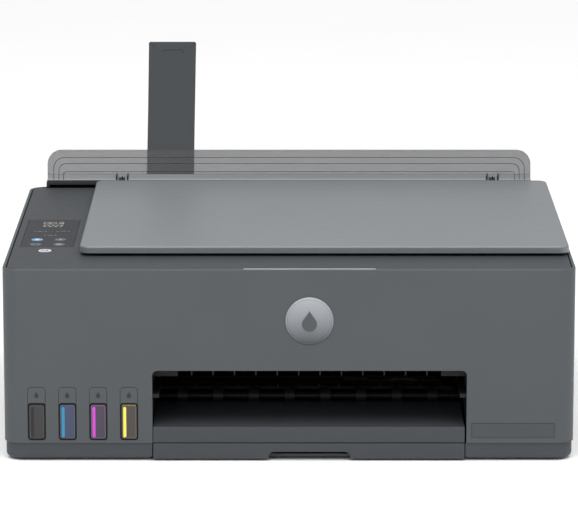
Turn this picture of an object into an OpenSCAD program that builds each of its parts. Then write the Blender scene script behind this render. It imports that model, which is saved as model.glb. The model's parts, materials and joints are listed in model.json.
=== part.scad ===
/* [Casing] */
// Width of the printer
body_w = 434.7; // [400:1:525]
// Depth of the printer without the paper support
body_d = 366; // [340:1:440]
// Height of the casing rim above the table
casing_top = 149.2; // [140:1:180]
// Height of the seam between casing and base
seam_z = 14.1; // [12:0.5:18]
// Radius of the upright corners
corner_r = 13; // [6:1:20]
// Wall thickness of the plastic shells
wall = 2.4; // [1.6:0.2:4]
// Depth of the narrower housing behind the casing
rear_housing_d = 29.6; // [26:0.5:40]
// How much narrower the rear housing is on each side
rear_inset = 13.4; // [8:0.5:20]
// Height of the rear deck above the casing rim
deck_up = 4.4; // [2:0.2:12]
// Height of the rubber feet that shows
foot_h = 1.5; // [1:0.5:5]
// Radius of a rubber foot
foot_r = 8; // [5:0.5:12]

/* [Front opening] */
// Left edge of the output opening
bay_left = -103.9; // [-130:1:-90]
// Right edge of the output opening
bay_right = 135.1; // [120:1:150]
// Top edge of the output opening
bay_top = 70.6; // [60:1:80]
// Depth of the black output bay
bay_depth = 84; // [60:1:90]
// Top surface of the output tray
tray_top = 26.6; // [24:0.5:30]
// How far the extender carries beyond the front when it is pulled out
extender_len = 172; // [120:1:200]

/* [Ink tanks] */
// Middle of the leftmost ink window
first_window_x = -192; // [-196:1:-186]
// Distance from one tank to the next
tank_pitch = 23.43; // [20:0.1:24]
// Width of one ink window
window_w = 13.8; // [10:0.2:16]
// Bottom edge of the ink windows
window_z0 = 16.3; // [15:0.5:24]
// Top edge of the ink windows
window_z1 = 45.6; // [38:0.5:60]
// Top of the engraved tabs above the windows
tab_z = 58.1; // [50:0.5:75]
// Depth of one ink tank
tank_d = 74; // [60:1:76]
// Top surface of the ink tanks
tank_top = 84; // [70:1:88]

/* [Scanner] */
// Left edge of the scanner lid
lid_left = -161; // [-170:1:-150]
// Front edge of the scanner lid
lid_front = 49.6; // [40:1:60]
// Depth of the scanner lid
lid_d = 274.8; // [240:1:276]
// Gap between scanner lid and top plate
lid_gap = 2.1; // [1.5:0.1:4]
// Thickness of the scanner lid
lid_t = 5.8; // [5:0.2:10]
// Height of the scanner unit below its top plate
scanner_h = 27.8; // [24:0.2:32]
// Thickness of the top plate
bezel_t = 2.4; // [2:0.2:4]
// Width of the platen glass
glass_w = 312; // [300:1:330]
// Depth of the platen glass
glass_d = 228; // [220:1:236]
// Thickness of the platen glass
glass_t = 2.8; // [2:0.2:4]

/* [Control panel] */
// Middle of the control panel
panel_x = -188.3; // [-192:0.5:-186]
// Width of the control panel insert
panel_w = 41.6; // [38:0.2:44]
// Front edge of the control panel insert
panel_front = 85; // [80:1:95]
// Depth of the control panel insert
panel_d = 108; // [105:1:130]
// Radius of a round button
button_r = 4.6; // [3:0.1:5]
// Travel of a button
button_travel = 0.6; // [0.3:0.1:0.8]
// Clearance around a button
button_gap = 0.2; // [0.1:0.05:0.4]

/* [Paper input] */
// Middle of the paper path
paper_x = 15.5; // [10:0.5:20]
// Widest sheet that the guides take
paper_w = 216; // [200:1:222]
// Lean of the paper support from upright
support_lean = 38; // [32:1:42]
// Width of the paper support arm
support_w = 40; // [30:1:60]
// Left edge of the paper support arm
support_left = -120.5; // [-122:0.5:-100]
// Thickness of the paper support arm
support_t = 2; // [1.6:0.2:3]
// Length of the paper support arm that shows when it is pulled out
support_show = 128.6; // [90:1:135]
// Length of the paper support arm that stays in its slot
support_held = 36; // [25:1:40]
// Length of the input cover
cover_len = 25.4; // [22:0.2:26]
// Thickness of the input cover
cover_t = 2; // [1.6:0.2:2.4]
// Lean of the opened input cover from upright
cover_lean = 10; // [6:1:15]

/* [Print engine] */
// Width of the carriage
carriage_w = 74; // [60:1:76]
// Underside of the carriage
carriage_z = 37.5; // [37:0.5:42]
// Top of the carriage shell
carriage_top = 86; // [80:1:88]
// Radius of the carriage rod
rod_r = 4; // [3:0.5:5]
// Radius of the belt pulleys
pulley_r = 6; // [4:0.5:8]
// Radius of the feed roller
feed_r = 8; // [6:0.5:8]
// Radius of the exit roller
exit_r = 6.5; // [5:0.5:7]
// Radius of the pick roller
pick_r = 14.5; // [12:0.5:15]
// Radial clearance of a shaft in its bore
running_gap = 0.05; // [0.02:0.01:0.1]

/* [Hidden] */
$fn = 48;

gap = 0.4;                                    // working gap between neighbouring shells
inner_w = body_w - 2 * wall;                  // inside the casing
casing_d = body_d - rear_housing_d;           // main casing, front to back
deck_z = casing_top + deck_up;                // rear deck
rear_w = body_w - 2 * rear_inset;             // narrower rear housing
base_inset = 1;                               // base sits back from the casing
bezel_under = casing_top - bezel_t;           // underside of the top plate
scanner_z = bezel_under - scanner_h;          // underside of the scanner unit
lid_z = casing_top + lid_gap;                 // underside of the lid
lid_w = body_w / 2 - 2 - lid_left;            // lid reaches almost to the right side
lid_x = lid_left + lid_w / 2;
lid_rear = lid_front + lid_d;
extender_z = seam_z - 6;                      // underside of the extender's plate
extender_t = 2.2;
floor_z = foot_h + 2.2;                       // inside floor of the base
bay_mid = (bay_left + bay_right) / 2;
bay_w = bay_right - bay_left;

// input cover and paper support, measured from the back of the housing
cover_z = deck_z + 1.6;                       // hinge of the input cover
support_gap = 0.5;                            // support arm to the housing's back wall
cover_gap = 1.4;                              // closed cover to the support arm
support_back = body_d - wall + 0.4 - support_gap + (cover_z - deck_z) * tan(support_lean);
support_front = support_back - support_t / cos(support_lean);
cover_y = support_front - cover_gap - cover_len;
overall_d = support_front + support_show * sin(support_lean) + support_t * cos(support_lean);
badge_proud = 0.35;                           // the badge stands this far in front of the casing
front_y = (badge_proud - overall_d) / 2;      // the origin lies under the middle of the whole box

// scanner hatch
hatch_axis_y = casing_d - 11.4;
hatch_axis_z = bezel_under - 3.8;
hatch_pin_r = 3;
bezel_rear = casing_d - 5.4;
tub_rear = casing_d - 28.4;
bezel_front = wall + 0.6;
bezel_w = inner_w - 1.6;
tub_front = bezel_front + 2;
lid_axis_y = lid_rear - 3.2;
lid_axis_z = lid_z + 2.4;
lid_pin_r = 1.5;
lid_skin = 1.4;
hinge_xs = [lid_left + 50, lid_left + lid_w - 50];
glass_x = lid_x;
glass_y = (lid_front + lid_rear) / 2 - 12;

// print engine places
frame_left = -122;
frame_right = body_w / 2 - wall - 8;
rod_y = 164;
rod_z = 70;
belt_y = 175.5;
beam_y = 180;
belt_w = 4;
belt_z = 80;
belt_t = 1;
motor_x = frame_left + pulley_r + 8;
idler_x = frame_right - pulley_r - 5;
carriage_y0 = 104;
carriage_d = 52;
head_off = 17.5;                              // print heads sit this far from the carriage middle
park_x = frame_right - carriage_w / 2 - 2;
paper_z = 35;
feed_y = 186;
feed_z = paper_z - feed_r;
exit_y = bay_depth + 9;
exit_z = paper_z - exit_r;
feed_wheel_r = 14;
exit_wheel_r = feed_wheel_r * exit_r / feed_r; // both rollers pass paper at one speed
feed_pulley_r = 5;
feed_motor_y = 150;
feed_motor_z = 66;
chute_w = paper_w + 20;
platen_right = min(park_x - carriage_w / 2 - 2, paper_x + chute_w / 2 - 1);
platen_z = paper_z - 2;                       // plate under the ribs that carry the paper
chute_top = deck_z - wall - 0.2;
chute_bend = casing_top - 4;                  // the wall in front of the paper bends here
rib_h = 3.5;                                  // ribs of the chute stand this proud
plate_t = 2;                                  // chute plate
plate_y = -gap - plate_t;                     // chute plate face, in the support's own frame
rib_y = plate_y - rib_h;
guide_depth = 7;                              // guides stand this far in front of the ribs
pinion_teeth = 16;
pinion_r = 8;                                 // pitch radius, so the module is 1
pinion_z = -60;                               // along the chute, from the cover's hinge level
tooth_pitch = 2 * PI * pinion_r / pinion_teeth;
pick_along = -132;
pick_off = rib_y - pick_r - 1;
pick_y = support_front + pick_off * cos(support_lean) + pick_along * sin(support_lean);
pick_z = cover_z - pick_off * sin(support_lean) + pick_along * cos(support_lean);
tank_n = 4;
window_x = [for (i = [0:tank_n - 1]) first_window_x + i * tank_pitch];
tank_w = tank_pitch - 1.8;
neck_r = 7;
neck_bore = 4.9;
neck_h = 6;
cap_axis_y = wall + 0.4 + tank_d - 6;
cap_axis_z = tank_top + neck_h + 1;
neck_y = cap_axis_y - 13;
fillet = 4;
black = [0.06, 0.06, 0.07];
grey = [0.36, 0.38, 0.4];
silver = [0.6, 0.62, 0.64];
steel = [0.7, 0.7, 0.72];

// ---- helpers ----
module at_front() translate([0, front_y, 0]) children();

// rectangle with round corners, middle at the origin
module rounded(w, d, r) {
    square([w - 2 * r, d], center = true);
    square([w, d - 2 * r], center = true);
    for (x = [-1, 1], y = [-1, 1])
        translate([x * (w / 2 - r), y * (d / 2 - r)]) circle(r);
}

// block with round upright corners, from z0 to z1 and from y0 to y1
module slab(w, y0, y1, r, z0, z1)
    translate([0, (y0 + y1) / 2, z0]) linear_extrude(z1 - z0) rounded(w, y1 - y0, r);

// a front view outline (x, z) cut or raised between two depths
module facing(y0, y1)
    translate([0, y1, 0]) rotate([90, 0, 0]) linear_extrude(y1 - y0) children();

// a side view outline (y, z) drawn out between two widths
module along_x(x0, x1)
    translate([x0, 0, 0]) rotate([90, 0, 90]) linear_extrude(x1 - x0) children();

// a box between two corners
module box(a, b) translate(a) cube(b - a);

module rod_x(x0, x1, y, z, r) translate([x0, y, z]) rotate([0, 90, 0]) cylinder(h = x1 - x0, r = r);
module rod_y(x, y0, y1, z, r) translate([x, y0, z]) rotate([-90, 0, 0]) cylinder(h = y1 - y0, r = r);
module rod_z(x, y, z0, z1, r) translate([x, y, z0]) cylinder(h = z1 - z0, r = r);

// the leaning frame of the paper support: its z runs up along the support, its y points behind it
module leaning() translate([0, support_front, cover_z]) rotate([-support_lean, 0, 0]) children();

module bay_outline(extra = 0)
    translate([bay_mid, 0]) {
        translate([-bay_w / 2 - extra, foot_h - 1])
            square([bay_w + 2 * extra, bay_top - foot_h + 1 - fillet]);
        translate([0, bay_top + extra - fillet * 2])
            rounded(bay_w + 2 * extra, fillet * 4, fillet);
    }

module window_outline(i, inset = 0)
    translate([window_x[i], (window_z0 + window_z1) / 2])
        rounded(window_w - 2 * inset, window_z1 - window_z0 - 2 * inset, 2.6 - inset);

// ---- casing ----
module outer_casing() {
    groove = 0.5;
    at_front() color(grey) difference() {
        slab(body_w, 0, casing_d, corner_r, seam_z, casing_top);
        slab(inner_w, wall, casing_d - wall + gap, corner_r - wall, seam_z - 1, casing_top + 1);
        // the rear housing joins here
        box([-rear_w / 2 + 0.4, casing_d - 4, seam_z - 1], [rear_w / 2 - 0.4, casing_d + 1,
            casing_top + 1]);
        facing(-1, wall + 1) bay_outline();
        for (i = [0:tank_n - 1]) {
            facing(-1, wall + 1) window_outline(i);
            // engraved tab over the window
            facing(-1, groove) difference() {
                translate([window_x[i], (window_z0 + tab_z) / 2]) rounded(window_w, tab_z - window_z0, 3);
                translate([window_x[i], (window_z0 + tab_z) / 2])
                    rounded(window_w - 2 * groove, tab_z - window_z0 - 2 * groove, 2.5);
            }
        }
        facing(-1, 0.8) translate([paper_x, 109.5]) circle(18.5);
        facing(-1, 0.5) translate([170.7, 23.95]) rounded(63.8, 11.7, 1);
    }
    // pins that carry the scanner unit
    at_front() color(grey) for (s = [-1, 1])
        rod_x(min(s * (inner_w / 2 - 8), s * (inner_w / 2 + 0.5)), max(s * (inner_w / 2 - 8),
            s * (inner_w / 2 + 0.5)),
              hatch_axis_y, hatch_axis_z, hatch_pin_r);
}

module base_chassis() {
    w = body_w - 2 * base_inset;
    floor_t = 2.2;
    at_front() color(black) difference() {
        union() {
            slab(w, base_inset, casing_d - base_inset, corner_r, foot_h, seam_z);
            slab(rear_w - 2 * base_inset, casing_d - 30, body_d - base_inset, 8, foot_h, seam_z);
        }
        slab(w - 2 * wall, base_inset + wall, casing_d - base_inset - wall, corner_r - wall,
            foot_h + floor_t, seam_z + 1);
        slab(rear_w - 2 * base_inset - 2 * wall, casing_d - 40, body_d - base_inset - wall, 6,
            foot_h + floor_t, seam_z + 1);
        // room for the extender's front
        box([bay_left - 0.4, -1, foot_h - 1], [bay_right - 0.6, 4.2, seam_z + 1]);
        for (x = [-1, 1], y = [26, casing_d - 26])
            rod_z(x * (body_w / 2 - 32), y, foot_h - 1, foot_h + 1, foot_r);
    }
}

module rubber_feet()
    at_front() color(black)
        for (x = [-1, 1], y = [26, casing_d - 26])
            rod_z(x * (body_w / 2 - 32), y, 0, foot_h + 1, foot_r - 0.2);

module rear_housing() {
    louvre_n = 9;
    at_front() color(black) difference() {
        union() {
            difference() {
                slab(rear_w, casing_d - 10, body_d, 8, seam_z, deck_z);
                slab(rear_w - 2 * wall, casing_d - 20, body_d - wall + 0.4, 6, seam_z - 1, deck_z - wall);
            }
        }
        // open towards the casing, below the deck
        box([-body_w / 2, casing_d - 11, seam_z - 1], [body_w / 2, casing_d, casing_top]);
        box([-body_w / 2, casing_d - 11, seam_z - 1], [body_w / 2, casing_d - 2, deck_z + 1]);
        // slot for paper
        box([paper_x - chute_w / 2, casing_d + 2, deck_z - wall - 1],
            [paper_x + chute_w / 2, support_front - 3.5, deck_z + 1]);
        // slot for the support arm
        leaning() box([support_left - 0.4, -gap, -20], [support_left + support_w + 0.4,
            support_t + 0.3, 20]);
        // cooling louvres
        for (i = [0:louvre_n - 1])
            box([60 + i * 7, body_d - 8, 60], [63 + i * 7, body_d + 1, 104]);
        // cut-outs of the sockets
        box([-185, body_d - 8, 22], [-157, body_d + 1, 44]);
        box([150, body_d - 8, 26], [164, body_d + 1, 39]);
        for (x = [-190, 190], z = [30, 120]) {
            rod_y(x, body_d - 1.2, body_d + 1, z, 3.4);
            rod_y(x, body_d - 9, body_d, z, 1.5);
        }
    }
    // posts that hold the hinge of the input cover
    at_front() color(black) for (x = cover_posts) difference() {
        union() {
            box([x - 2.4, cover_y - 1.7, deck_z], [x + 2.4, cover_y + 1.7, cover_z]);
            rod_x(x - 2.4, x + 2.4, cover_y, cover_z, 1.7);
        }
        rod_x(x - 3, x + 3, cover_y, cover_z, 0.9 + running_gap);
    }
}
cover_posts = [paper_x - 156, paper_x + 155];

module rear_sockets() {
    at_front() {
        // power inlet with two pins
        color(black) difference() {
            box([-184.8, body_d - 22, 22.2], [-157.2, body_d - 1, 43.8]);
            translate([-171, 0, 33]) facing(body_d - 16, body_d) rounded(20, 13, 4);
        }
        color(steel) for (x = [-176, -166]) rod_y(x, body_d - 16, body_d - 4, 33, 1.1);
        // data socket
        color(steel) difference() {
            box([150.2, body_d - 18, 26.2], [163.8, body_d - 1, 38.8]);
            box([151.8, body_d - 15, 27.8], [162.2, body_d, 37.2]);
        }
        color([0.9, 0.9, 0.9]) box([154, body_d - 15, 30.5], [160, body_d - 5, 34]);
    }
}

module casing_screws()
    at_front() color(steel) for (x = [-190, 190], z = [30, 120]) difference() {
        union() {
            rod_y(x, body_d - 1.2, body_d - 0.1, z, 3.1);
            rod_y(x, body_d - wall + 0.4 - 8, body_d - 1.2, z, 1.4);
        }
        for (a = [0, 90]) translate([x, body_d - 0.7, z]) rotate([0, a, 0]) box([-2, 0, -0.35],
            [2, 1, 0.35]);
    }

module window_frames()
    at_front() color(black) for (i = [0:tank_n - 1])
        facing(0.2, wall) difference() {
            window_outline(i, 0.05);
            window_outline(i, 1.4);
        }

module round_badge()
    at_front() color(silver) difference() {
        facing(-badge_proud, 0.8) translate([paper_x, 109.5]) circle(18.3);
        // one plain drop in the middle
        facing(-1, 0.1) translate([paper_x, 107.5]) badge_drop(6);
    }

module badge_drop(r) {
    circle(r);
    polygon([[-r * cos(30), r * sin(30)], [0, 2 * r], [r * cos(30), r * sin(30)]]);
}

// ---- output side ----
module output_bay() {
    rib_n = 12;
    rib_pitch = 16.3;
    t = 1.8;
    at_front() color(black) difference() {
        union() {
            difference() {
                box([bay_left - t, wall + 0.2, tray_top + 0.6], [bay_right + t, bay_depth, bay_top + t]);
                box([bay_left, wall - 1, tray_top], [bay_right, bay_depth + 1, bay_top]);
            }
            for (i = [0:rib_n - 1])
                box([paper_x - (rib_n - 1) / 2 * rib_pitch + i * rib_pitch - 0.6, wall + 6,
                    bay_top - 5.4],
                    [paper_x - (rib_n - 1) / 2 * rib_pitch + i * rib_pitch + 0.6, bay_depth,
                        bay_top + 1]);
            // side brackets under the ceiling
            for (x = [bay_left, bay_right - 19])
                box([x, wall + 14, bay_top - 8], [x + 19, wall + 16, bay_top + 1]);
            // ledge along both sides
            for (x = [bay_left, bay_right - 5])
                box([x, wall + 0.2, 49], [x + 5, bay_depth, 52]);
        }
    }
}

module output_tray() {
    rib_n = 7;
    at_front() color(grey) {
        box([bay_left + 0.3, 0.3, seam_z + 0.3], [bay_right - 1.2, 2.7, tray_top]);
        box([bay_left + 0.3, 2.7, tray_top - 3], [bay_right - 1.2, bay_depth - 2, tray_top]);
        color(black) for (i = [0:rib_n - 1])
            box([paper_x - 96 + i * 32 - 0.8, 6, tray_top - 5],
                [paper_x - 96 + i * 32 + 0.8, bay_depth - 2, tray_top - 3]);
    }
}

stop_x = 44;
stop_y = 8;
module tray_extender() {
    plate_w = bay_w - 40;
    at_front() color(grey) difference() {
        union() {
            box([bay_left + 0.3, 0.3, foot_h + 0.2], [bay_right - 1.2, 3, seam_z - 0.3]);
            box([bay_mid - plate_w / 2, 2.5, extender_z], [bay_mid + plate_w / 2, extender_len + 18,
                extender_z + extender_t]);
            for (x = [-1, 1])
                side_box(bay_mid + x * (plate_w / 2 - 3), bay_mid + x * plate_w / 2, 2.5,
                    extender_len + 18, floor_z + 0.4, extender_z + 0.5);
        }
        // finger pull under the middle of the front
        facing(-1, 5) translate([paper_x, foot_h]) rounded(62, 11, 4);
        // pocket of the paper stop and a window that saves weight
        box([paper_x - stop_x / 2 - 0.5, stop_y - 2.5, extender_z - 1],
            [paper_x + stop_x / 2 + 0.5, stop_y + 12.5, extender_z + extender_t + 1]);
        box([bay_mid - plate_w / 2 + 30, 50, extender_z - 1],
            [bay_mid + plate_w / 2 - 30, 120, extender_z + extender_t + 1]);
        rod_x(paper_x - stop_x / 2 - 4, paper_x + stop_x / 2 + 4, stop_y,
            extender_z + extender_t / 2, 0.7 + running_gap);
    }
}

// flap at the front of the extender that stops the sheets
module paper_stop() {
    z = extender_z + extender_t / 2;
    at_front() color(grey) {
        box([paper_x - stop_x / 2, stop_y, z - 0.8], [paper_x + stop_x / 2, stop_y + 11, z + 0.8]);
        rod_x(paper_x - stop_x / 2, paper_x + stop_x / 2, stop_y, z, 1);
        rod_x(paper_x - stop_x / 2 - 3, paper_x + stop_x / 2 + 3, stop_y, z, 0.7);
    }
}

// ---- print engine ----
module platen() {
    rib_n = 14;
    at_front() color(black) {
        difference() {
            box([frame_left + 4, carriage_y0 + 0.5, paper_z - 4],
                [platen_right, feed_y - feed_r - 1, platen_z]);
            // ink gutter
            box([frame_left + 14, 124, paper_z - 5], [park_x - carriage_w / 2 - 12, 140, paper_z - 1]);
        }
        for (i = [0:rib_n - 1])
            box([paper_x - 104 + i * 16 - 0.7, carriage_y0 + 1, paper_z - 2],
                [paper_x - 104 + i * 16 + 0.7, 123, paper_z]);
        box([paper_x - chute_w / 2 + 1, feed_y + feed_r + 1, paper_z - 4],
            [platen_right, pick_y - 4, platen_z]);
    }
}

module rail_frame() {
    t = 1.5;
    top = 104;
    at_front() color(steel) difference() {
        union() {
            box([frame_left, beam_y, 56], [frame_right, beam_y + t, top]);
            box([frame_left, beam_y, top - t], [frame_right, beam_y + 16, top]);
            box([frame_left, beam_y, 56], [frame_right, beam_y + 10, 56 + t]);
            for (x = [frame_left, frame_right])
                along_x(x - t, x) polygon([
                    [carriage_y0 - 16, floor_z], [beam_y + 16, floor_z], [beam_y + 16, top],
                    [beam_y - 30, top], [beam_y - 40, tank_top], [carriage_y0 - 16, tank_top]
                ]);
            // pin of the idler pulley
            rod_y(idler_x, belt_y - 3.6, beam_y + 0.5, belt_z, 1.5);
        }
        for (x = [frame_left, frame_right]) {
            rod_x(x - 4, x + 4, rod_y, rod_z, rod_r);
            rod_x(x - 4, x + 4, feed_y, feed_z, 3 + running_gap);
            rod_x(x - 4, x + 4, exit_y, exit_z, 2.5 + running_gap);
            rod_x(x - 4, x + 4, feed_motor_y, feed_motor_z, 2);
        }
        rod_y(motor_x, beam_y - 1, beam_y + t + 1, belt_z, 3);
        box([frame_left + 60, beam_y - 1, 60], [frame_right - 60, beam_y + t + 1, 64]);
    }
}

module carriage_rod()
    at_front() color(steel) rod_x(frame_left - 1.5, frame_right, rod_y, rod_z, rod_r);

// closed loop round two pulleys of one size
module belt_loop(x0, x1, r, t) difference() {
    union() {
        translate([x0, -r - t]) square([x1 - x0, 2 * (r + t)]);
        for (x = [x0, x1]) translate([x, 0]) circle(r + t);
    }
    translate([x0, -r]) square([x1 - x0, 2 * r]);
    for (x = [x0, x1]) translate([x, 0]) circle(r);
}

module carriage_belt()
    at_front() color(black) facing(belt_y - belt_w / 2, belt_y + belt_w / 2)
        translate([0, belt_z]) belt_loop(motor_x, idler_x, pulley_r + 0.1, belt_t);

module pulley(x) {
    at_front() color(black) difference() {
        union() {
            rod_y(x, belt_y - 2, belt_y + 2, belt_z, pulley_r);
            rod_y(x, belt_y - 2.8, belt_y - 2.1, belt_z, pulley_r + 1.6);
            rod_y(x, belt_y - 2.2, belt_y - 2, belt_z, pulley_r - 1);
            rod_y(x, belt_y + 2.1, belt_y + 2.7, belt_z, pulley_r + 1.6);
            rod_y(x, belt_y + 1.9, belt_y + 2.2, belt_z, pulley_r - 1);
        }
        rod_y(x, belt_y - 4, belt_y + 4, belt_z, 1.5 + running_gap);
        // spokes show that it turns
        for (a = [0:60:300]) rotate_about(x, belt_z, a) translate([3.6, 0, 0])
            rod_y(x, belt_y - 4, belt_y + 4, belt_z, 0.8);
    }
}
module rotate_about(x, z, a) translate([x, 0, z]) rotate([0, a, 0]) translate([-x, 0, -z]) children();

module motor_pulley() pulley(motor_x);
module idler_pulley() pulley(idler_x);

module carriage_motor()
    at_front() color(steel) {
        rod_y(motor_x, beam_y + 1.5, beam_y + 25, belt_z, 13);
        rod_y(motor_x, belt_y - 3.6, beam_y + 2, belt_z, 1.5);
    }

module carriage() {
    t = 2;
    x0 = park_x - carriage_w / 2;
    x1 = park_x + carriage_w / 2;
    y1 = carriage_y0 + carriage_d;
    at_front() color(black) difference() {
        union() {
            difference() {
                box([x0, carriage_y0, carriage_z], [x1, y1, carriage_top]);
                box([x0 + t, carriage_y0 + t, carriage_z + 2], [x1 - t, y1 - t, carriage_top + 1]);
                // nozzle windows
                for (x = [-1, 1])
                    box([park_x + x * head_off - 11, carriage_y0 + 12, carriage_z - 1],
                        [park_x + x * head_off + 11, y1 - 12, carriage_z + 3]);
            }
            box([park_x - 1, carriage_y0 + t, carriage_z], [park_x + 1, y1 - t, carriage_top - 6]);
            // bearing blocks on the rod
            for (x = [x0, x1 - 16]) {
                box([x, y1, rod_z - 8], [x + 16, rod_y + 7, rod_z + 8]);
            }
            // belt clamp
            box([park_x - 12, y1, belt_z - pulley_r - 4.2], [park_x + 12, belt_y - 2.4,
                belt_z - pulley_r + 1]);
            // ears of the latch
            for (x = [x0, x1 - 4])
                box([x, carriage_y0 + 27, carriage_top - 4], [x + 4, carriage_y0 + 33, carriage_top + 4]);
        }
        rod_x(x0 - 1, x1 + 1, rod_y, rod_z, rod_r + running_gap);
        rod_x(x0 - 1, x1 + 1, carriage_y0 + 30, carriage_top + 1.6, 1.2 + running_gap);
    }
}

module printheads()
    at_front() for (i = [-1, 1]) {
        color(i < 0 ? [0.15, 0.15, 0.16] : [0.25, 0.27, 0.3]) {
            box([park_x + i * head_off - 15, carriage_y0 + 3, carriage_z + 2],
                [park_x + i * head_off + 15, carriage_y0 + 48, carriage_top - 2]);
            box([park_x + i * head_off - 9, carriage_y0 + 14, carriage_z - 0.8],
                [park_x + i * head_off + 9, carriage_y0 + 38, carriage_z + 2]);
        }
    }

module head_latch() {
    y = carriage_y0 + 30;
    z = carriage_top + 1.6;
    w = carriage_w - 10;
    at_front() color([0.1, 0.35, 0.65]) difference() {
        union() {
            box([park_x - w / 2, carriage_y0 + 1, carriage_top + 0.6],
                [park_x + w / 2, y, carriage_top + 2.6]);
            rod_x(park_x - w / 2, park_x + w / 2, y, z, 2);
            rod_x(park_x - w / 2 - 4, park_x + w / 2 + 4, y, z, 1.2);
            box([park_x - 12, carriage_y0 - 3, carriage_top + 0.6],
                [park_x + 12, carriage_y0 + 2, carriage_top + 2.6]);
        }
        box([park_x - 8, carriage_y0 + 5, carriage_top], [park_x + 8, carriage_y0 + 18,
            carriage_top + 4]);
    }
}

module feed_roller()
    at_front() {
        color(steel) rod_x(frame_left - 8, frame_right + 1, feed_y, feed_z, 3);
        color(black) for (i = [0:5])
            rod_x(paper_x - 105 + i * 38, paper_x - 105 + i * 38 + 20, feed_y, feed_z, feed_r);
        color(black) pulley_x(frame_left - 7, feed_y, feed_z, feed_wheel_r);
    }

module exit_roller()
    at_front() {
        color(steel) rod_x(frame_left - 8, frame_right + 1, exit_y, exit_z, 2.5);
        color(black) for (i = [0:7])
            rod_x(paper_x - 98 + i * 28 - 5, paper_x - 98 + i * 28 + 3, exit_y, exit_z, exit_r);
        color(black) pulley_x(frame_left - 7, exit_y, exit_z, exit_wheel_r);
    }

// toothless belt pulley with holes in its web
module pulley_x(x, y, z, r)
    difference() {
        rod_x(x, x + 4, y, z, r);
        for (a = [0:60:300])
            rod_x(x - 1, x + 5, y + (r * 0.62) * cos(a), z + (r * 0.62) * sin(a), r * 0.14);
    }

module pick_roller() {
    at_front() {
        color(steel) rod_x(paper_x - chute_w / 2 - 1.5, paper_x + chute_w / 2 + 1.5, pick_y, pick_z, 3);
        color(black) for (x = [-1, 1]) difference() {
            rod_x(paper_x + x * 22 - 9, paper_x + x * 22 + 9, pick_y, pick_z, pick_r);
            for (a = [0:72:288])
                rod_x(paper_x - 40, paper_x + 40, pick_y + 9 * cos(a), pick_z + 9 * sin(a), 2.4);
        }
    }
}

module feed_motor()
    at_front() color(steel) {
        rod_x(frame_left - 38, frame_left - 13, feed_motor_y, feed_motor_z, 13);
        rod_x(frame_left - 14, frame_left - 2, feed_motor_y, feed_motor_z, 1.5);
    }

module feed_pulley()
    at_front() color([0.85, 0.83, 0.75]) difference() {
        rod_x(frame_left - 7, frame_left - 3, feed_motor_y, feed_motor_z, feed_pulley_r);
        rod_x(frame_left - 8, frame_left - 2, feed_motor_y, feed_motor_z, 1.5 + running_gap);
        for (a = [0:90:270])
            rod_x(frame_left - 8, frame_left - 2, feed_motor_y + 3.4 * cos(a),
                feed_motor_z + 3.4 * sin(a), 0.7);
    }

module feed_belt()
    at_front() color(black) along_x(frame_left - 6.5, frame_left - 3.5) difference() {
        hull() feed_circles(1.3);
        hull() feed_circles(0.3);
    }
module feed_circles(extra) {
    translate([feed_y, feed_z]) circle(feed_wheel_r + extra);
    translate([exit_y, exit_z]) circle(exit_wheel_r + extra);
    translate([feed_motor_y, feed_motor_z]) circle(feed_pulley_r + extra);
}

module service_station() {
    x0 = park_x - carriage_w / 2 + 2;
    x1 = park_x + carriage_w / 2 - 2;
    at_front() {
        color(black) difference() {
            box([x0, carriage_y0, foot_h + 2.2], [x1, carriage_y0 + carriage_d, carriage_z - 6]);
            box([x0 + 2, carriage_y0 + 2, foot_h + 5], [x1 - 2, carriage_y0 + carriage_d - 2,
                carriage_z]);
        }
        color([0.15, 0.15, 0.15]) for (i = [-1, 1])
            box([park_x + i * head_off - 9.5, carriage_y0 + 13, foot_h + 5],
                [park_x + i * head_off + 9.5, carriage_y0 + 39, carriage_z - 1.5]);
        color([0.5, 0.5, 0.5]) box([x0 + 6, carriage_y0 + 43, foot_h + 5],
            [x1 - 6, carriage_y0 + 46, carriage_z - 1.3]);
    }
}

// ---- ink supply ----
tank_inks = [[0.1, 0.1, 0.1], [0.1, 0.45, 0.7], [0.75, 0.2, 0.7], [0.9, 0.85, 0.2]];
module tank(i) {
    t = 1.6;
    x = window_x[i];
    y0 = wall + 0.4;
    at_front() color(tank_inks[i]) difference() {
        union() {
            box([x - tank_w / 2, y0, seam_z + 0.4], [x + tank_w / 2, y0 + tank_d, tank_top]);
            // face that shows in the window
            facing(0.7, y0 + 1) window_outline(i, 1.5);
            rod_z(x, neck_y, tank_top - 0.5, tank_top + neck_h, neck_r);
            // ears of the cap
            for (s = [-1, 1])
                box([x + s * 5.2 - 1.2, cap_axis_y - 2.5, tank_top - 0.5],
                    [x + s * 5.2 + 1.2, cap_axis_y + 2.5, cap_axis_z + 2.5]);
        }
        box([x - tank_w / 2 + t, y0 + t, seam_z + 0.4 + t], [x + tank_w / 2 - t, y0 + tank_d - t,
            tank_top - t]);
        rod_z(x, neck_y, tank_top - t - 1, tank_top + neck_h + 1, neck_bore);
        rod_x(x - 7, x + 7, cap_axis_y, cap_axis_z, 1.2 + running_gap);
    }
}
module cap(i) {
    x = window_x[i];
    z = tank_top + neck_h + 0.1;
    at_front() color(tank_inks[i]) {
        rod_z(x, neck_y, z - 1.8, z, neck_bore - 0.8);
        rod_z(x, neck_y, z, z + 3.4, neck_r + 0.8);
        box([x - 3.2, neck_y, z], [x + 3.2, cap_axis_y, z + 2]);
        rod_x(x - 3.2, x + 3.2, cap_axis_y, cap_axis_z, 1.9);
        rod_x(x - 6.2, x + 6.2, cap_axis_y, cap_axis_z, 1.2);
        // thumb tab
        box([x - 4, neck_y - 11, z + 1.2], [x + 4, neck_y - 6, z + 3.4]);
    }
}
module tank_black() tank(0);
module tank_cyan() tank(1);
module tank_magenta() tank(2);
module tank_yellow() tank(3);
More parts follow.
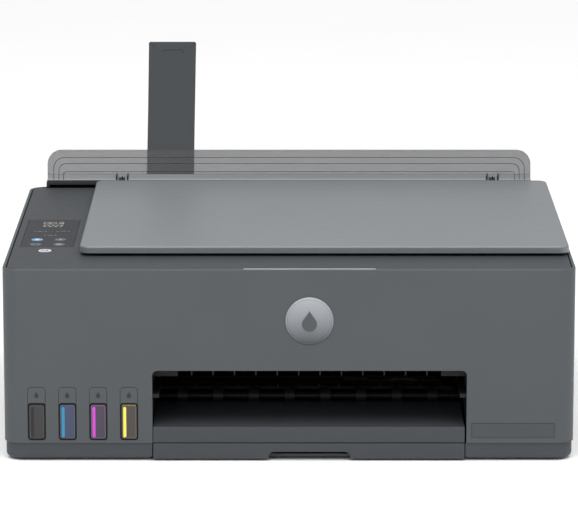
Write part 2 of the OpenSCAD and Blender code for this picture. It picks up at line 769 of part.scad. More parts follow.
module cap_black() cap(0);
module cap_cyan() cap(1);
module cap_magenta() cap(2);
module cap_yellow() cap(3);

// a thin tube from the back of each tank, up and over to the pump block on the frame
module ink_tubes() {
    r = 1.4;
    z = tank_top + 5;
    y0 = wall + 0.4 + tank_d;
    outlet_z = 60;
    pump = [-152, -136];
    at_front() {
        for (i = [0:3]) color(tank_inks[i]) {
            x = window_x[i];
            turn_y = 96 + i * 4;
            rod_y(x, y0, y0 + 3 + r, outlet_z, r);
            rod_z(x, y0 + 3, outlet_z, z, r);
            rod_y(x, y0 + 3, turn_y + r, z, r);
            rod_x(min(x, pump[1] - 1), max(x, pump[0] + 1), turn_y, z, r);
        }
        color(black) box([pump[0], 92, z - 5], [pump[1], 113, z + 5]);
    }
}

// ---- electronics ----
module main_board()
    at_front() {
        x = body_w / 2 - wall - 7;
        color([0.05, 0.25, 0.12]) box([x, 215, 22], [x + 1.6, 330, 112]);
        color(black) box([x - 3, 250, 60], [x, 276, 86]);
        color(black) box([x - 2, 290, 62], [x, 304, 80]);
        color([0.85, 0.85, 0.8]) for (i = [0:3]) box([x - 6, 226 + i * 24, 98], [x, 242 + i * 24, 104]);
        color(steel) for (i = [0:2]) rod_x(x - 10, x, 232 + i * 14, 40, 5);
    }

module power_supply()
    at_front() {
        x0 = -body_w / 2 + wall + 12;
        color([0.05, 0.2, 0.1]) box([x0, 212, foot_h + 6], [x0 + 56, 332, foot_h + 7.6]);
        color([0.75, 0.7, 0.3]) box([x0 + 12, 262, foot_h + 7.6], [x0 + 42, 290, foot_h + 33]);
        color(black) for (i = [0:1]) rod_z(x0 + 16 + i * 22, 240, foot_h + 7.6, foot_h + 36, 8);
        color(steel) box([x0 + 6, 300, foot_h + 7.6], [x0 + 9, 330, foot_h + 32]);
        color(steel) for (y = [222, 328], x = [x0 + 5, x0 + 51]) rod_z(x, y, foot_h + 2.2, foot_h + 6, 3);
    }

// ---- paper input ----
module input_chute() {
    low = -150;
    high = -7;
    t = 1.8;
    x0 = paper_x - chute_w / 2;
    x1 = paper_x + chute_w / 2;
    band = [pinion_z - 16, pinion_z + 16];
    rib_n = 9;
    at_front() color(black) difference() {
        union() {
            leaning() {
                box([x0 - t, plate_y, low], [x1 + t, -gap, high]);
                for (i = [0:rib_n - 1]) {
                    x = paper_x - 88 + i * 22;
                    box([x - 0.8, rib_y, band[1]], [x + 0.8, plate_y + 0.5, high - 2]);
                    box([x - 0.8, rib_y, low + 28], [x + 0.8, plate_y + 0.5, band[0]]);
                }
                // pivot of the pinion
                translate([paper_x, plate_y + 0.5, pinion_z]) rotate([90, 0, 0]) cylinder(h = 3.4, r = 2);
            }
            for (x = [x0 - t, x1]) along_x(x, x + t) cheek_outline();
            along_x(x0 - 0.5, x1 + 0.5) front_wall_outline();
        }
        rod_x(x0 - 5, x1 + 5, pick_y, pick_z, 3 + running_gap);
    }
}

// how far back the face of the leaning plate lies at a height
function incline(z) = support_front - 1 - (cover_z - z) * tan(support_lean);

// side view of a cheek, from the deck down to the base floor
module cheek_outline()
    polygon([
        [casing_d + 0.8, chute_top], [incline(chute_top), chute_top], [incline(floor_z), floor_z],
        [incline(floor_z) - 20, floor_z], [pick_y - 16, pick_z - 14], [pick_y - 16, pick_z + 10],
        [tub_rear - 16, scanner_z - 20], [tub_rear + 2, scanner_z], [casing_d - 1, chute_bend],
        [casing_d - 1, chute_top]
    ]);

// side view of the wall in front of the paper
module front_wall_outline()
    polygon([
        [casing_d - 1, chute_top], [casing_d + 0.8, chute_top], [casing_d + 0.8, chute_bend],
        [tub_rear + 3.8, scanner_z], [tub_rear - 14.2, scanner_z - 20], [tub_rear - 16, scanner_z - 20],
        [tub_rear + 2, scanner_z], [casing_d - 1, chute_bend]
    ]);

module rack_teeth(x0, x1) {
    // trapezoid teeth with their pitch line at the origin; a gap faces the pinion at paper_x
    first = ceil((x0 + 2 - paper_x) / tooth_pitch - 0.5);
    last = floor((x1 - 2 - paper_x) / tooth_pitch - 0.5);
    for (k = [first:last])
        translate([paper_x + (k + 0.5) * tooth_pitch, 0])
            polygon([[-1, -1.2], [1, -1.2], [0.35, 0.7], [-0.35, 0.7]]);
}

// one paper guide: side -1 is the left one, 1 the right one
module guide(side) {
    face = paper_x + side * (paper_w / 2 + 0.5);
    out = face + side * 2;
    line = pinion_z - side * (pinion_r + 1);
    inner = paper_x - side * 9;
    at_front() leaning() color(black) {
        side_box(face, out, rib_y - guide_depth, rib_y - 0.3, -80, -16);
        // foot that slides between the upper and the lower ribs
        side_box(face, face + side * 7, rib_y - 0.8, plate_y - 0.3, line - 4, line + 4);
        // rack
        translate([0, plate_y - 0.3, 0]) rotate([90, 0, 0]) linear_extrude(2.4) {
            x0 = min(out, inner);
            x1 = max(out, inner);
            translate([x0, line - (side > 0 ? 2.2 : 0.2)]) square([x1 - x0, 2.4]);
            if (side > 0) translate([0, line + 1]) rack_teeth(x0, x1);
            else translate([0, line - 1]) mirror([0, 1]) rack_teeth(x0, x1);
        }
    }
}
module side_box(xa, xb, y0, y1, z0, z1) box([min(xa, xb), y0, z0], [max(xa, xb), y1, z1]);
module guide_left() guide(-1);
module guide_right() guide(1);

module guide_pinion()
    at_front() leaning() color([0.8, 0.8, 0.78])
        translate([paper_x, plate_y - 0.3, pinion_z]) rotate([90, 0, 0]) linear_extrude(2.4)
            difference() {
            union() {
                circle(pinion_r - 1);
                for (k = [0:pinion_teeth - 1]) rotate(k * 360 / pinion_teeth)
                    polygon([[pinion_r - 1.6, -0.85], [pinion_r + 0.5, -0.35],
                        [pinion_r + 0.5, 0.35], [pinion_r - 1.6, 0.85]]);
            }
            circle(2 + running_gap);
        }

// translucent cover: stands behind the lid when it is open
module input_cover() {
    w = rear_w - 2;
    r = 12;
    groove_in = [5, 9.3, 13.1];
    groove_down = [6.5, 11.6, 18.4];
    groove_w = 0.45;
    groove_deep = 0.25;
    at_front() translate([0, cover_y, cover_z]) rotate([-cover_lean, 0, 0])
        color([0.6, 0.61, 0.62, 0.6]) difference() {
        union() {
            // sheet with round upper corners and stepped steps on its front
            facing(-cover_t / 2, cover_t / 2) cover_outline(w, cover_len, r);
            rod_x(-w / 2, w / 2, 0, 0, 1.3);
        }
        for (k = [0:2])
            facing(-cover_t, -cover_t / 2 + groove_deep) difference() {
                cover_outline(w - 2 * groove_in[k], cover_len - groove_down[k], r - 3 * (k + 1));
                cover_outline(w - 2 * groove_in[k] - 2 * groove_w, cover_len - groove_down[k] - groove_w,
                              r - 3 * (k + 1) - groove_w);
            }
        for (x = cover_posts) {
            box([x - 2.8, -4, -4], [x + 2.8, 4, 2.2]);
            for (s = [-1, 1]) box([x + s * 4.6 - 0.4, -4, -4], [x + s * 4.6 + 0.4, 4, 4.4]);
        }
    }
    // pins that turn in the posts
    at_front() color([0.6, 0.61, 0.62, 0.6]) for (x = cover_posts)
        rod_x(x - 3.8, x + 3.8, cover_y, cover_z, 0.9);
}
module cover_outline(w, h, r) {
    translate([-w / 2, 0]) square([w, h - r]);
    translate([-w / 2 + r, 0]) square([w - 2 * r, h]);
    for (s = [-1, 1]) translate([s * (w / 2 - r), h - r]) circle(r);
}

module paper_support()
    at_front() leaning() color([0.3, 0.32, 0.33]) difference() {
        union() {
            box([support_left, 0, -support_held], [support_left + support_w, support_t,
                support_show - 1]);
            translate([support_left + support_w / 2, 0, support_show - 4])
                facing(0, support_t) rounded(support_w, 8, 1.2);
        }
        // finger notch at the top
        facing(-1, 0.6) translate([support_left + support_w / 2, support_show - 10]) rounded(18, 4, 1.5);
    }

// ---- scanner unit ----
module scanner_tub() {
    w = bezel_w - 1;
    t = 2;
    at_front() color(black) difference() {
        union() {
            difference() {
                slab(w, tub_front, tub_rear, corner_r - wall - 1, scanner_z, bezel_under);
                slab(w - 2 * t, tub_front + t, tub_rear - t, corner_r - wall - 3, scanner_z + t,
                    bezel_under + 1);
            }
            // hinge ears
            for (s = [-1, 1]) {
                x0 = min(s * (w / 2 - 6), s * (w / 2 - 2));
                box([x0, tub_rear - 4, hatch_axis_z - 3.8], [x0 + 4, hatch_axis_y, hatch_axis_z + 3.8]);
                rod_x(x0, x0 + 4, hatch_axis_y, hatch_axis_z, 3.8);
            }
            // posts under the control board
            for (y = [66, 190], x = [-204, -172]) rod_z(x, y, scanner_z, bezel_under - 5.8, 3);
            // round rail of the scan bar on its two posts
            for (x = [lid_left + 4, w / 2 - 6])
                box([x, glass_y - 6, scanner_z + 1], [x + 5, glass_y + 6, scanner_z + 12]);
            rod_x(lid_left + 4, w / 2 - 1.5, glass_y, scanner_z + 8, 3);
        }
        for (s = [-1, 1]) rod_x(min(s * (w / 2 - 8), s * w / 2), max(s * (w / 2 - 8), s * w / 2),
                               hatch_axis_y, hatch_axis_z, hatch_pin_r + running_gap);
    }
}

module top_plate() {
    slope_y = 47.4;                          // the strip in front of this line falls away a little
    slope_drop = 0.8;
    notch_w = 100;
    at_front() color(grey) difference() {
        slab(bezel_w, bezel_front, bezel_rear, corner_r - wall - 0.6, bezel_under, casing_top);
        box([glass_x - glass_w / 2 + 4, glass_y - glass_d / 2 + 4, bezel_under - 1],
            [glass_x + glass_w / 2 - 4, glass_y + glass_d / 2 - 4, casing_top + 1]);
        // control panel seat and the opening under it
        slab_at(panel_x, panel_w, panel_front, panel_front + panel_d, 1.5, casing_top - panel_t,
            casing_top + 1);
        slab_at(panel_x, panel_w - 3, panel_front + 1.5, panel_front + panel_d - 1.5, 1,
            bezel_under - 1, casing_top);
        rod_z(power_x, power_y, bezel_under - 1, casing_top + 1, power_r + 0.8);
        // falling front strip
        along_x(-body_w / 2, body_w / 2)
            polygon([[0, casing_top - slope_drop], [bezel_front, casing_top - slope_drop],
                [slope_y, casing_top],
                     [slope_y, casing_top + 2], [0, casing_top + 2]]);
        // finger notch in the front edge
        along_x(paper_x - notch_w / 2, paper_x + notch_w / 2)
            polygon([[0, casing_top - 2.2], [bezel_front, casing_top - 2.2],
                [bezel_front + 9, casing_top + 1], [0, casing_top + 1]]);
    }
}
power_x = -188.7;
power_y = 71.2;
power_r = 5.3;
module slab_at(x, w, y0, y1, r, z0, z1) translate([x, 0, 0]) slab(w, y0, y1, r, z0, z1);

module platen_glass()
    at_front() color([0.7, 0.8, 0.82, 0.4])
        box([glass_x - glass_w / 2, glass_y - glass_d / 2, bezel_under - glass_t],
            [glass_x + glass_w / 2, glass_y + glass_d / 2, bezel_under]);

scan_home_x = lid_left + 26;
module scan_bar()
    at_front() {
        color(black) difference() {
            union() {
                box([scan_home_x - 9, glass_y - 112, scanner_z + 13],
                    [scan_home_x + 9, glass_y + 112, bezel_under - glass_t - 0.6]);
                box([scan_home_x - 14, glass_y - 8, scanner_z + 3],
                    [scan_home_x + 14, glass_y + 8, scanner_z + 14]);
            }
            rod_x(scan_home_x - 20, scan_home_x + 20, glass_y, scanner_z + 8, 3 + running_gap);
            box([scan_home_x - 2, glass_y - 109, bezel_under - glass_t - 1.2],
                [scan_home_x + 2, glass_y + 109, bezel_under]);
        }
        color([0.85, 0.9, 0.92]) box([scan_home_x - 1.9, glass_y - 108, bezel_under - glass_t - 1.2],
                                    [scan_home_x + 1.9, glass_y + 108, bezel_under - glass_t - 0.8]);
    }

// places of the round buttons, and the one that is lit
panel_t = 1.2;                                // panel insert
panel_gap = 0.25;                             // all round the panel insert
button_places = [[-197.4, 113.3], [-179.1, 113.3], [-197.4, 94.6], [-179.1, 94.6]];
display_size = [17.2, 24.6];
display_y = 173.8;

module control_board()
    at_front() {
        z = bezel_under - 5.8;
        color([0.05, 0.25, 0.12]) box([-208, 60, z], [-169, 200, z + 1.6]);
        color([0.85, 0.85, 0.85]) for (p = button_places)
            box([p[0] - 3, p[1] - 3, z + 1.6], [p[0] + 3, p[1] + 3, z + 3.2]);
        color([0.85, 0.85, 0.85]) box([power_x - 3, power_y - 3, z + 1.6],
            [power_x + 3, power_y + 3, z + 2.6]);
        color(black) box([panel_x - 10, display_y - 14, z + 1.6], [panel_x + 10, display_y + 14, z + 5]);
    }

module control_panel()
    at_front() {
        color([0.3, 0.31, 0.33]) difference() {
            slab_at(panel_x, panel_w - 2 * panel_gap, panel_front + panel_gap,
                panel_front + panel_d - panel_gap,
                    1.4, casing_top - panel_t, casing_top);
            for (p = button_places) rod_z(p[0], p[1], casing_top - 3, casing_top + 1,
                button_r + button_gap);
            slab_at(panel_x, display_size[0], display_y - display_size[1] / 2,
                display_y + display_size[1] / 2, 1,
                    casing_top - 3, casing_top + 1);
        }
        // display lens
        color(black) slab_at(panel_x, display_size[0], display_y - display_size[1] / 2,
            display_y + display_size[1] / 2, 1,
                             casing_top - 1.6, casing_top + 0.1);
    }

// round button: a face, a flange that keeps it in and a stem to its switch
module push_button(x, y, r, flange_z, stem_z, colour)
    at_front() color(colour) {
        rod_z(x, y, flange_z, casing_top + 0.2, r);
        rod_z(x, y, flange_z - 1, flange_z, r + 0.9);
        rod_z(x, y, stem_z, flange_z - 1, 1.5);
    }
panel_flange = casing_top - panel_t - 0.1;
panel_stem = bezel_under - 2.6 + button_travel + 0.1;
module round_button(i, colour)
    push_button(button_places[i][0], button_places[i][1], button_r, panel_flange, panel_stem, colour);

module power_button()
    push_button(power_x, power_y, power_r, bezel_under - 0.4, panel_stem, [0.75, 0.76, 0.78]);
module wireless_button() round_button(0, [0.5, 0.68, 0.78]);
module info_button() round_button(1, grey);
module cancel_button() round_button(2, grey);
module resume_button() round_button(3, grey);

// ---- lid ----
module lid_cover() {
    r = 8;
    at_front() color(silver) {
        difference() {
            slab_at(lid_x, lid_w, lid_front, lid_rear, r, lid_z, lid_z + lid_t);
            slab_at(lid_x, lid_w - 3.6, lid_front + 1.8, lid_rear - 7.5, r - 1.8, lid_z - 1,
                lid_z + lid_t - lid_skin);
            for (x = hinge_xs)
                box([x - 8.4, lid_axis_y - 5, lid_z - 1], [x + 8.4, lid_rear + 1,
                    lid_z + lid_t - lid_skin]);
        }
        // knuckles round the hinge pins
        for (x = hinge_xs, s = [-1, 1]) difference() {
            union() {
                rod_x(x + s * 5.5 - 2.5, x + s * 5.5 + 2.5, lid_axis_y, lid_axis_z, 2.2);
                box([x + s * 5.5 - 2.5, lid_axis_y - 1.5, lid_axis_z],
                    [x + s * 5.5 + 2.5, lid_axis_y + 1.5, lid_z + lid_t - lid_skin]);
            }
            rod_x(x - 9, x + 9, lid_axis_y, lid_axis_z, lid_pin_r + running_gap);
        }
    }
}

module lid_pad()
    at_front() color([0.93, 0.93, 0.93])
        slab_at(glass_x, glass_w - 12, glass_y - glass_d / 2 + 6, glass_y + glass_d / 2 - 6, 3,
            bezel_under + 0.4, lid_z + lid_t - lid_skin);

module lid_hinges()
    at_front() color(steel) for (x = hinge_xs) {
        box([x - 2.6, lid_axis_y - 1.9, casing_top], [x + 2.6, lid_axis_y + 1.9, lid_axis_z]);
        rod_x(x - 2.6, x + 2.6, lid_axis_y, lid_axis_z, 1.95);
        rod_x(x - 7.8, x + 7.8, lid_axis_y, lid_axis_z, lid_pin_r);
    }

base_chassis();
outer_casing();
rear_housing();
rear_sockets();
rubber_feet();
casing_screws();
window_frames();
round_badge();
output_bay();
output_tray();
tray_extender();
paper_stop();
platen();
rail_frame();
carriage_rod();
carriage_belt();
carriage_motor();
motor_pulley();
idler_pulley();
carriage();
printheads();
head_latch();
feed_roller();
exit_roller();
pick_roller();
feed_motor();
feed_pulley();
feed_belt();
service_station();
tank_black();
tank_cyan();
tank_magenta();
tank_yellow();
cap_black();
cap_cyan();
cap_magenta();
cap_yellow();
ink_tubes();
main_board();
power_supply();
input_chute();
input_cover();
paper_support();
guide_left();
guide_right();
guide_pinion();
scanner_tub();
top_plate();
platen_glass();
scan_bar();
control_board();
control_panel();
power_button();
wireless_button();
info_button();
cancel_button();
resume_button();
lid_cover();
lid_pad();
lid_hinges();
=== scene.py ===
import json
import math

import bpy
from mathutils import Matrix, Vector


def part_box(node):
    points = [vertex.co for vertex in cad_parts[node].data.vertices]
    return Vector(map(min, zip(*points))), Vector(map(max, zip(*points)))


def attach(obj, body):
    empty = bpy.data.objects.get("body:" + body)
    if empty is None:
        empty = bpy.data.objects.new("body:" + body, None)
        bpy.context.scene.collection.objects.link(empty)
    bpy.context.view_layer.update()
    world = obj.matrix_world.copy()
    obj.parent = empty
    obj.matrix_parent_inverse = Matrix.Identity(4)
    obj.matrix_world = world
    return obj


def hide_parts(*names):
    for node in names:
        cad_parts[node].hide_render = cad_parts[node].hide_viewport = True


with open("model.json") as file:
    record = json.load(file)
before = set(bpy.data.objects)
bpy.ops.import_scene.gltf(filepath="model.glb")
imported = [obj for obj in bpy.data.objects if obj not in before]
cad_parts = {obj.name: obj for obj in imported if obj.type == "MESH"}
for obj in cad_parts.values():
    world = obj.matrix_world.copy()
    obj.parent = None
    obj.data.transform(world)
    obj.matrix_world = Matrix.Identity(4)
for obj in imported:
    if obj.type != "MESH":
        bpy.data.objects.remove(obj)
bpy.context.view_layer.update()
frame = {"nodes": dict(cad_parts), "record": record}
nodes = frame["nodes"]
scene = bpy.context.scene
bodyOfNode = {node: body for body, members in frame["record"]["behaviour"]["bodies"].items() for node in members}
slotOfNode = {row["node"]: row["material_slot"] for row in frame["record"]["subparts"]}
mm = 0.001
print("frame loaded:", len(nodes), "parts")


# the printer's own faces, taken from the frame
casingLow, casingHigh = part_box("outer_casing")
frontY = casingLow.y
topZ = casingHigh.z
inks = ("black", "cyan", "magenta", "yellow")


def centreOf(node):
    low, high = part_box(node)
    return (low + high) / 2


# camera: a long lens, a little above the lid
cameraSet = {"distance": 2.806, "height": 0.746, "tilt": 78.14, "lens": 236.7}
cameraData = bpy.data.cameras.new("camera")
cameraData.lens = cameraSet["lens"]
camera = bpy.data.objects.new("camera", cameraData)
camera.location = (0, frontY - cameraSet["distance"], cameraSet["height"])
camera.rotation_euler = (math.radians(cameraSet["tilt"]), 0, 0)
scene.collection.objects.link(camera)
scene.camera = camera
scene.view_settings.view_transform = "Standard"


# studio light: a wide softbox overhead, one in front, and pale walls
lightSet = {"overhead": 17, "front": 7, "side": 5, "wall": 0.32, "ceiling": 1.1}


def softbox(name, place, target, width, depth, power):
    data = bpy.data.lights.new(name, "AREA")
    data.shape = "RECTANGLE"
    data.size = width
    data.size_y = depth
    data.energy = power
    lamp = bpy.data.objects.new(name, data)
    lamp.location = place
    lamp.rotation_euler = (Vector(target) - Vector(place)).to_track_quat("-Z", "Y").to_euler()
    scene.collection.objects.link(lamp)


softbox("overheadSoftbox", (0, -0.8, 1.5), (0, 0, 0), 1.8, 1.0, lightSet["overhead"])
softbox("frontSoftbox", (-0.9, -2.6, 1.3), (0, 0, 0.1), 1.6, 1.6, lightSet["front"])
softbox("sideSoftbox", (2.3, -0.8, 1.2), (0, 0, 0.1), 1.4, 1.4, lightSet["side"])


# one socket's value, so that shader maths is written as plain sums
class Reading:
    def __init__(self, finish, socket):
        self.finish = finish
        self.socket = socket

    def __add__(self, other):
        return self.finish.maths("ADD", self, other)

    def __radd__(self, other):
        return self.finish.maths("ADD", other, self)

    def __sub__(self, other):
        return self.finish.maths("SUBTRACT", self, other)

    def __rsub__(self, other):
        return self.finish.maths("SUBTRACT", other, self)

    def __mul__(self, other):
        return self.finish.maths("MULTIPLY", self, other)

    def __rmul__(self, other):
        return self.finish.maths("MULTIPLY", other, self)

    def __truediv__(self, other):
        return self.finish.maths("DIVIDE", self, other)

    def __gt__(self, other):
        return self.finish.maths("GREATER_THAN", self, other)

    def __lt__(self, other):
        return self.finish.maths("LESS_THAN", self, other)


# a material with its nodes; every node comes from add()
class Finish:
    def __init__(self, name, fixed=None):
        self.material = bpy.data.materials.new(name)
        self.material.use_nodes = True
        self.tree = self.material.node_tree
        self.shader = self.tree.nodes["Principled BSDF"]
        self.put(fixed or {})

    def put(self, values):
        for socket, value in values.items():
            self.feed(self.shader.inputs[socket], value)
        return self.material

    def feed(self, socket, value):
        if isinstance(value, Reading):
            self.tree.links.new(value.socket, socket)
        else:
            socket.default_value = value

    def add(self, kind, settings=None, inputs=None, output=0):
        node = self.tree.nodes.new(kind)
        for key, value in (settings or {}).items():
            if key == "stops":
                ramp = node.color_ramp
                while len(ramp.elements) < len(value):
                    ramp.elements.new(0.5)
                for element, (position, colour) in zip(ramp.elements, value):
                    element.position = position
                    element.color = colour
            else:
                setattr(node, key, value)
        for key, value in (inputs or {}).items():
            self.feed(node.inputs[key], value)
        return Reading(self, node.outputs[output])

    def maths(self, operation, first, second):
        return self.add("ShaderNodeMath", {"operation": operation}, {0: first, 1: second})

    def place(self):
        return self.add("ShaderNodeTexCoord", output=3)

    def stretched(self, scale):
        return self.add("ShaderNodeMapping", {}, {"Vector": self.place(), "Scale": scale})

    def along(self, axis):
        return self.add("ShaderNodeSeparateXYZ", {}, {0: self.place()}, output="XYZ".index(axis))

    def noise(self, scale, detail=3, where=None, rough=0.5):
        inputs = {"Vector": where or self.place(), "Scale": scale, "Detail": detail, "Roughness": rough}
        return self.add("ShaderNodeTexNoise", {}, inputs)

    def blend(self, amount, first, second):
        return self.add("ShaderNodeMix", {"data_type": "RGBA"}, {0: amount, 6: first, 7: second}, output=2)

    def bump(self, height, depth, strength=1.0):
        return self.add("ShaderNodeBump", {}, {"Height": height, "Distance": depth, "Strength": strength})


def tone(red, green, blue):
    # a swatch colour made linear
    parts = [c / 255 for c in (red, green, blue)]
    return tuple(p / 12.92 if p < 0.04045 else ((p + 0.055) / 1.055) ** 2.4 for p in parts) + (1,)


def shade(colour, factor):
    return tuple(c * factor for c in colour[:3]) + (1,)


def mouldedPlastic(name, colour, rough=0.5, grain=2600, depth=0.02, spread=0.05, fixed=None):
    # fine spark-eroded grain, a slow drift of colour and slight handling marks in the gloss
    finish = Finish(name, {"Specular IOR Level": 0.3, **(fixed or {})})
    fine = finish.noise(grain, 3)
    broad = finish.noise(18, 2)
    handled = finish.noise(140, 4, rough=0.6)
    mixing = 0.5 + (fine - 0.5) * 0.8 + (broad - 0.5) * 0.9
    return finish.put({
        "Base Color": finish.blend(mixing, shade(colour, 1 - spread), shade(colour, 1 + spread)),
        "Roughness": rough + (handled - 0.5) * 0.16 + (fine - 0.5) * 0.06,
        "Normal": finish.bump(fine, depth * mm),
    })


def silverPaint(name, colour, rough=0.42):
    # sprayed silver: tiny flakes that catch the light, over a faint orange peel
    finish = Finish(name, {"Metallic": 0.25, "Coat Weight": 0.05, "Coat Roughness": 0.3})
    flake = finish.add("ShaderNodeTexVoronoi", {}, {"Vector": finish.place(), "Scale": 2300}, output=1)
    flakeLight = finish.add("ShaderNodeSeparateColor", {}, {0: flake})
    peel = finish.noise(900, 2)
    broad = finish.noise(9, 2)
    mixing = 0.5 + (flakeLight - 0.5) * 0.55 + (broad - 0.5) * 0.5
    return finish.put({
        "Base Color": finish.blend(mixing, shade(colour, 0.92), shade(colour, 1.08)),
        "Roughness": rough + (flakeLight - 0.5) * 0.12 + (finish.noise(120, 3) - 0.5) * 0.1,
        "Normal": finish.bump(peel + flakeLight * 0.3, 0.02 * mm),
    })


def glossPlastic(name, colour, rough=0.14, fixed=None):
    # smooth and glossy, with faint wiping marks
    finish = Finish(name, {"Coat Weight": 0.2, "Coat Roughness": 0.06, **(fixed or {})})
    wiped = finish.noise(60, 4, finish.stretched((1, 1, 6)))
    fine = finish.noise(1500, 2)
    return finish.put({
        "Base Color": finish.blend(finish.noise(35, 2), shade(colour, 0.95), shade(colour, 1.06)),
        "Roughness": rough + (wiped - 0.5) * 0.12,
        "Normal": finish.bump(fine, 0.003 * mm),
    })


def litPlastic(name, colour, glow, strength=0.6):
    # glowing plastic, as in a light guide, with a faint random change in its glow
    finish = Finish(name, {"Emission Strength": strength, "Roughness": 0.3})
    fine = finish.noise(900, 2)
    return finish.put({
        "Base Color": finish.blend(fine, shade(colour, 0.96), shade(colour, 1.04)),
        "Emission Color": finish.blend(finish.noise(240, 2), shade(glow, 0.93), shade(glow, 1.05)),
        "Normal": finish.bump(fine, 0.004 * mm),
    })


def brushedMetal(name, colour, lines, rough=0.3):
    # fine lines left by rolling or turning; lines is the stretch of the pattern
    finish = Finish(name, {"Metallic": 1.0})
    stroke = finish.noise(900, 3, finish.stretched(lines))
    stain = finish.noise(30, 3)
    return finish.put({
        "Base Color": finish.blend(stroke * 0.7 + stain * 0.3, shade(colour, 0.82), shade(colour, 1.12)),
        "Roughness": rough + (stroke - 0.5) * 0.22 + (stain - 0.5) * 0.1,
        "Normal": finish.bump(stroke, 0.004 * mm),
    })


def softRubber(name, colour):
    finish = Finish(name)
    grain = finish.noise(1900, 4)
    dust = finish.noise(70, 5)
    return finish.put({
        "Base Color": finish.blend(dust, shade(colour, 0.75), shade(colour, 1.5)),
        "Roughness": 0.72 + (grain - 0.5) * 0.2,
        "Normal": finish.bump(grain, 0.03 * mm),
    })


def inkTank(name, shell, ink, level):
    # tinted shell that shows the ink behind it up to its level, and a paler air space above
    finish = Finish(name, {"Coat Weight": 0.3, "Coat Roughness": 0.08})
    ripple = finish.noise(90, 2)
    filled = (finish.along("Z") + (ripple - 0.5) * 0.0006) < level
    mottle = finish.noise(55, 3)
    inkTone = finish.blend(mottle, shade(ink, 0.85), shade(ink, 1.1))
    airTone = finish.blend(mottle, shade(shell, 0.93), shade(shell, 1.07))
    fine = finish.noise(1200, 2)
    return finish.put({
        "Base Color": finish.blend(filled, airTone, inkTone),
        "Roughness": 0.22 + (fine - 0.5) * 0.1,
        "Normal": finish.bump(fine, 0.006 * mm),
    })


def satinBadgePaintedReflection(name, low, high, bottom, top):
    # satin silver with fine turned lines, and a painted reflection: light at its upper edge, dark at its lower edge
    finish = Finish(name, {"Metallic": 0.35, "Specular IOR Level": 0.3})
    stroke = finish.noise(1400, 3, finish.stretched((1, 1, 4)))
    # painted reflection: the share of the light tone rises with height over the badge
    height = (finish.along("Z") - bottom) / (top - bottom)
    return finish.put({
        "Base Color": finish.blend(height + (stroke - 0.5) * 0.3, low, high),
        "Roughness": 0.42 + (stroke - 0.5) * 0.2,
        "Normal": finish.bump(stroke, 0.003 * mm),
    })


def smokedSheet(name, colour, opacity, strip=None):
    # clear plastic with smoke tint, so what stands behind it shows through; matt below the strip's height
    finish = Finish(name, {"Coat Weight": 0.25, "Coat Roughness": 0.1})
    flow = finish.noise(9, 2)
    fine = finish.noise(1400, 2)
    tint = finish.blend(flow, shade(colour, 0.98), shade(colour, 1.02))
    alpha = opacity + (flow - 0.5) * 0.015
    if strip:
        matt = finish.along("Z") < strip
        tint = finish.blend(matt, tint, tone(138, 140, 143))
        alpha = alpha + matt * (0.96 - opacity)
    return finish.put({
        "Base Color": tint,
        "Alpha": alpha,
        "Roughness": 0.3 + (fine - 0.5) * 0.1,
        "Normal": finish.bump(fine, 0.0015 * mm),
    })


def floatGlass(name, colour, opacity):
    finish = Finish(name, {"Coat Weight": 1.0, "Coat Roughness": 0.01})
    smear = finish.noise(24, 5, finish.stretched((1, 2.5, 1)))
    return finish.put({
        "Base Color": finish.blend(smear, shade(colour, 0.95), shade(colour, 1.05)),
        "Alpha": opacity + (smear - 0.5) * 0.05,
        "Roughness": 0.04 + smear * 0.05,
        "Normal": finish.bump(finish.noise(3, 1), 0.002 * mm),
    })


def circuitBoard(name, colour):
    # green solder mask over a net of copper tracks, with bare pads
    finish = Finish(name, {"Coat Weight": 0.3, "Coat Roughness": 0.12})
    track = finish.add("ShaderNodeTexVoronoi", {"distance": "MANHATTAN"}, {"Vector": finish.place(), "Scale": 420})
    line = (track > 0.36) * (track < 0.46)
    pad = finish.add("ShaderNodeTexVoronoi", {}, {"Vector": finish.place(), "Scale": 260}) < 0.16
    mask = finish.blend(line, shade(colour, 0.9), shade(colour, 1.7))
    return finish.put({
        "Base Color": finish.blend(pad, mask, tone(186, 160, 92)),
        "Metallic": pad * 0.8,
        "Roughness": 0.3 + (finish.noise(400, 3) - 0.5) * 0.2,
        "Normal": finish.bump(line * 0.5 + pad, 0.03 * mm),
    })


def paleFoam(name, colour):
    # closed-cell foam under a thin white skin
    finish = Finish(name)
    cells = finish.add("ShaderNodeTexVoronoi", {}, {"Vector": finish.place(), "Scale": 900})
    broad = finish.noise(30, 3)
    return finish.put({
        "Base Color": finish.blend(broad, shade(colour, 0.96), shade(colour, 1.02)),
        "Roughness": 0.8 + (cells - 0.5) * 0.1,
        "Normal": finish.bump(cells, 0.04 * mm),
    })


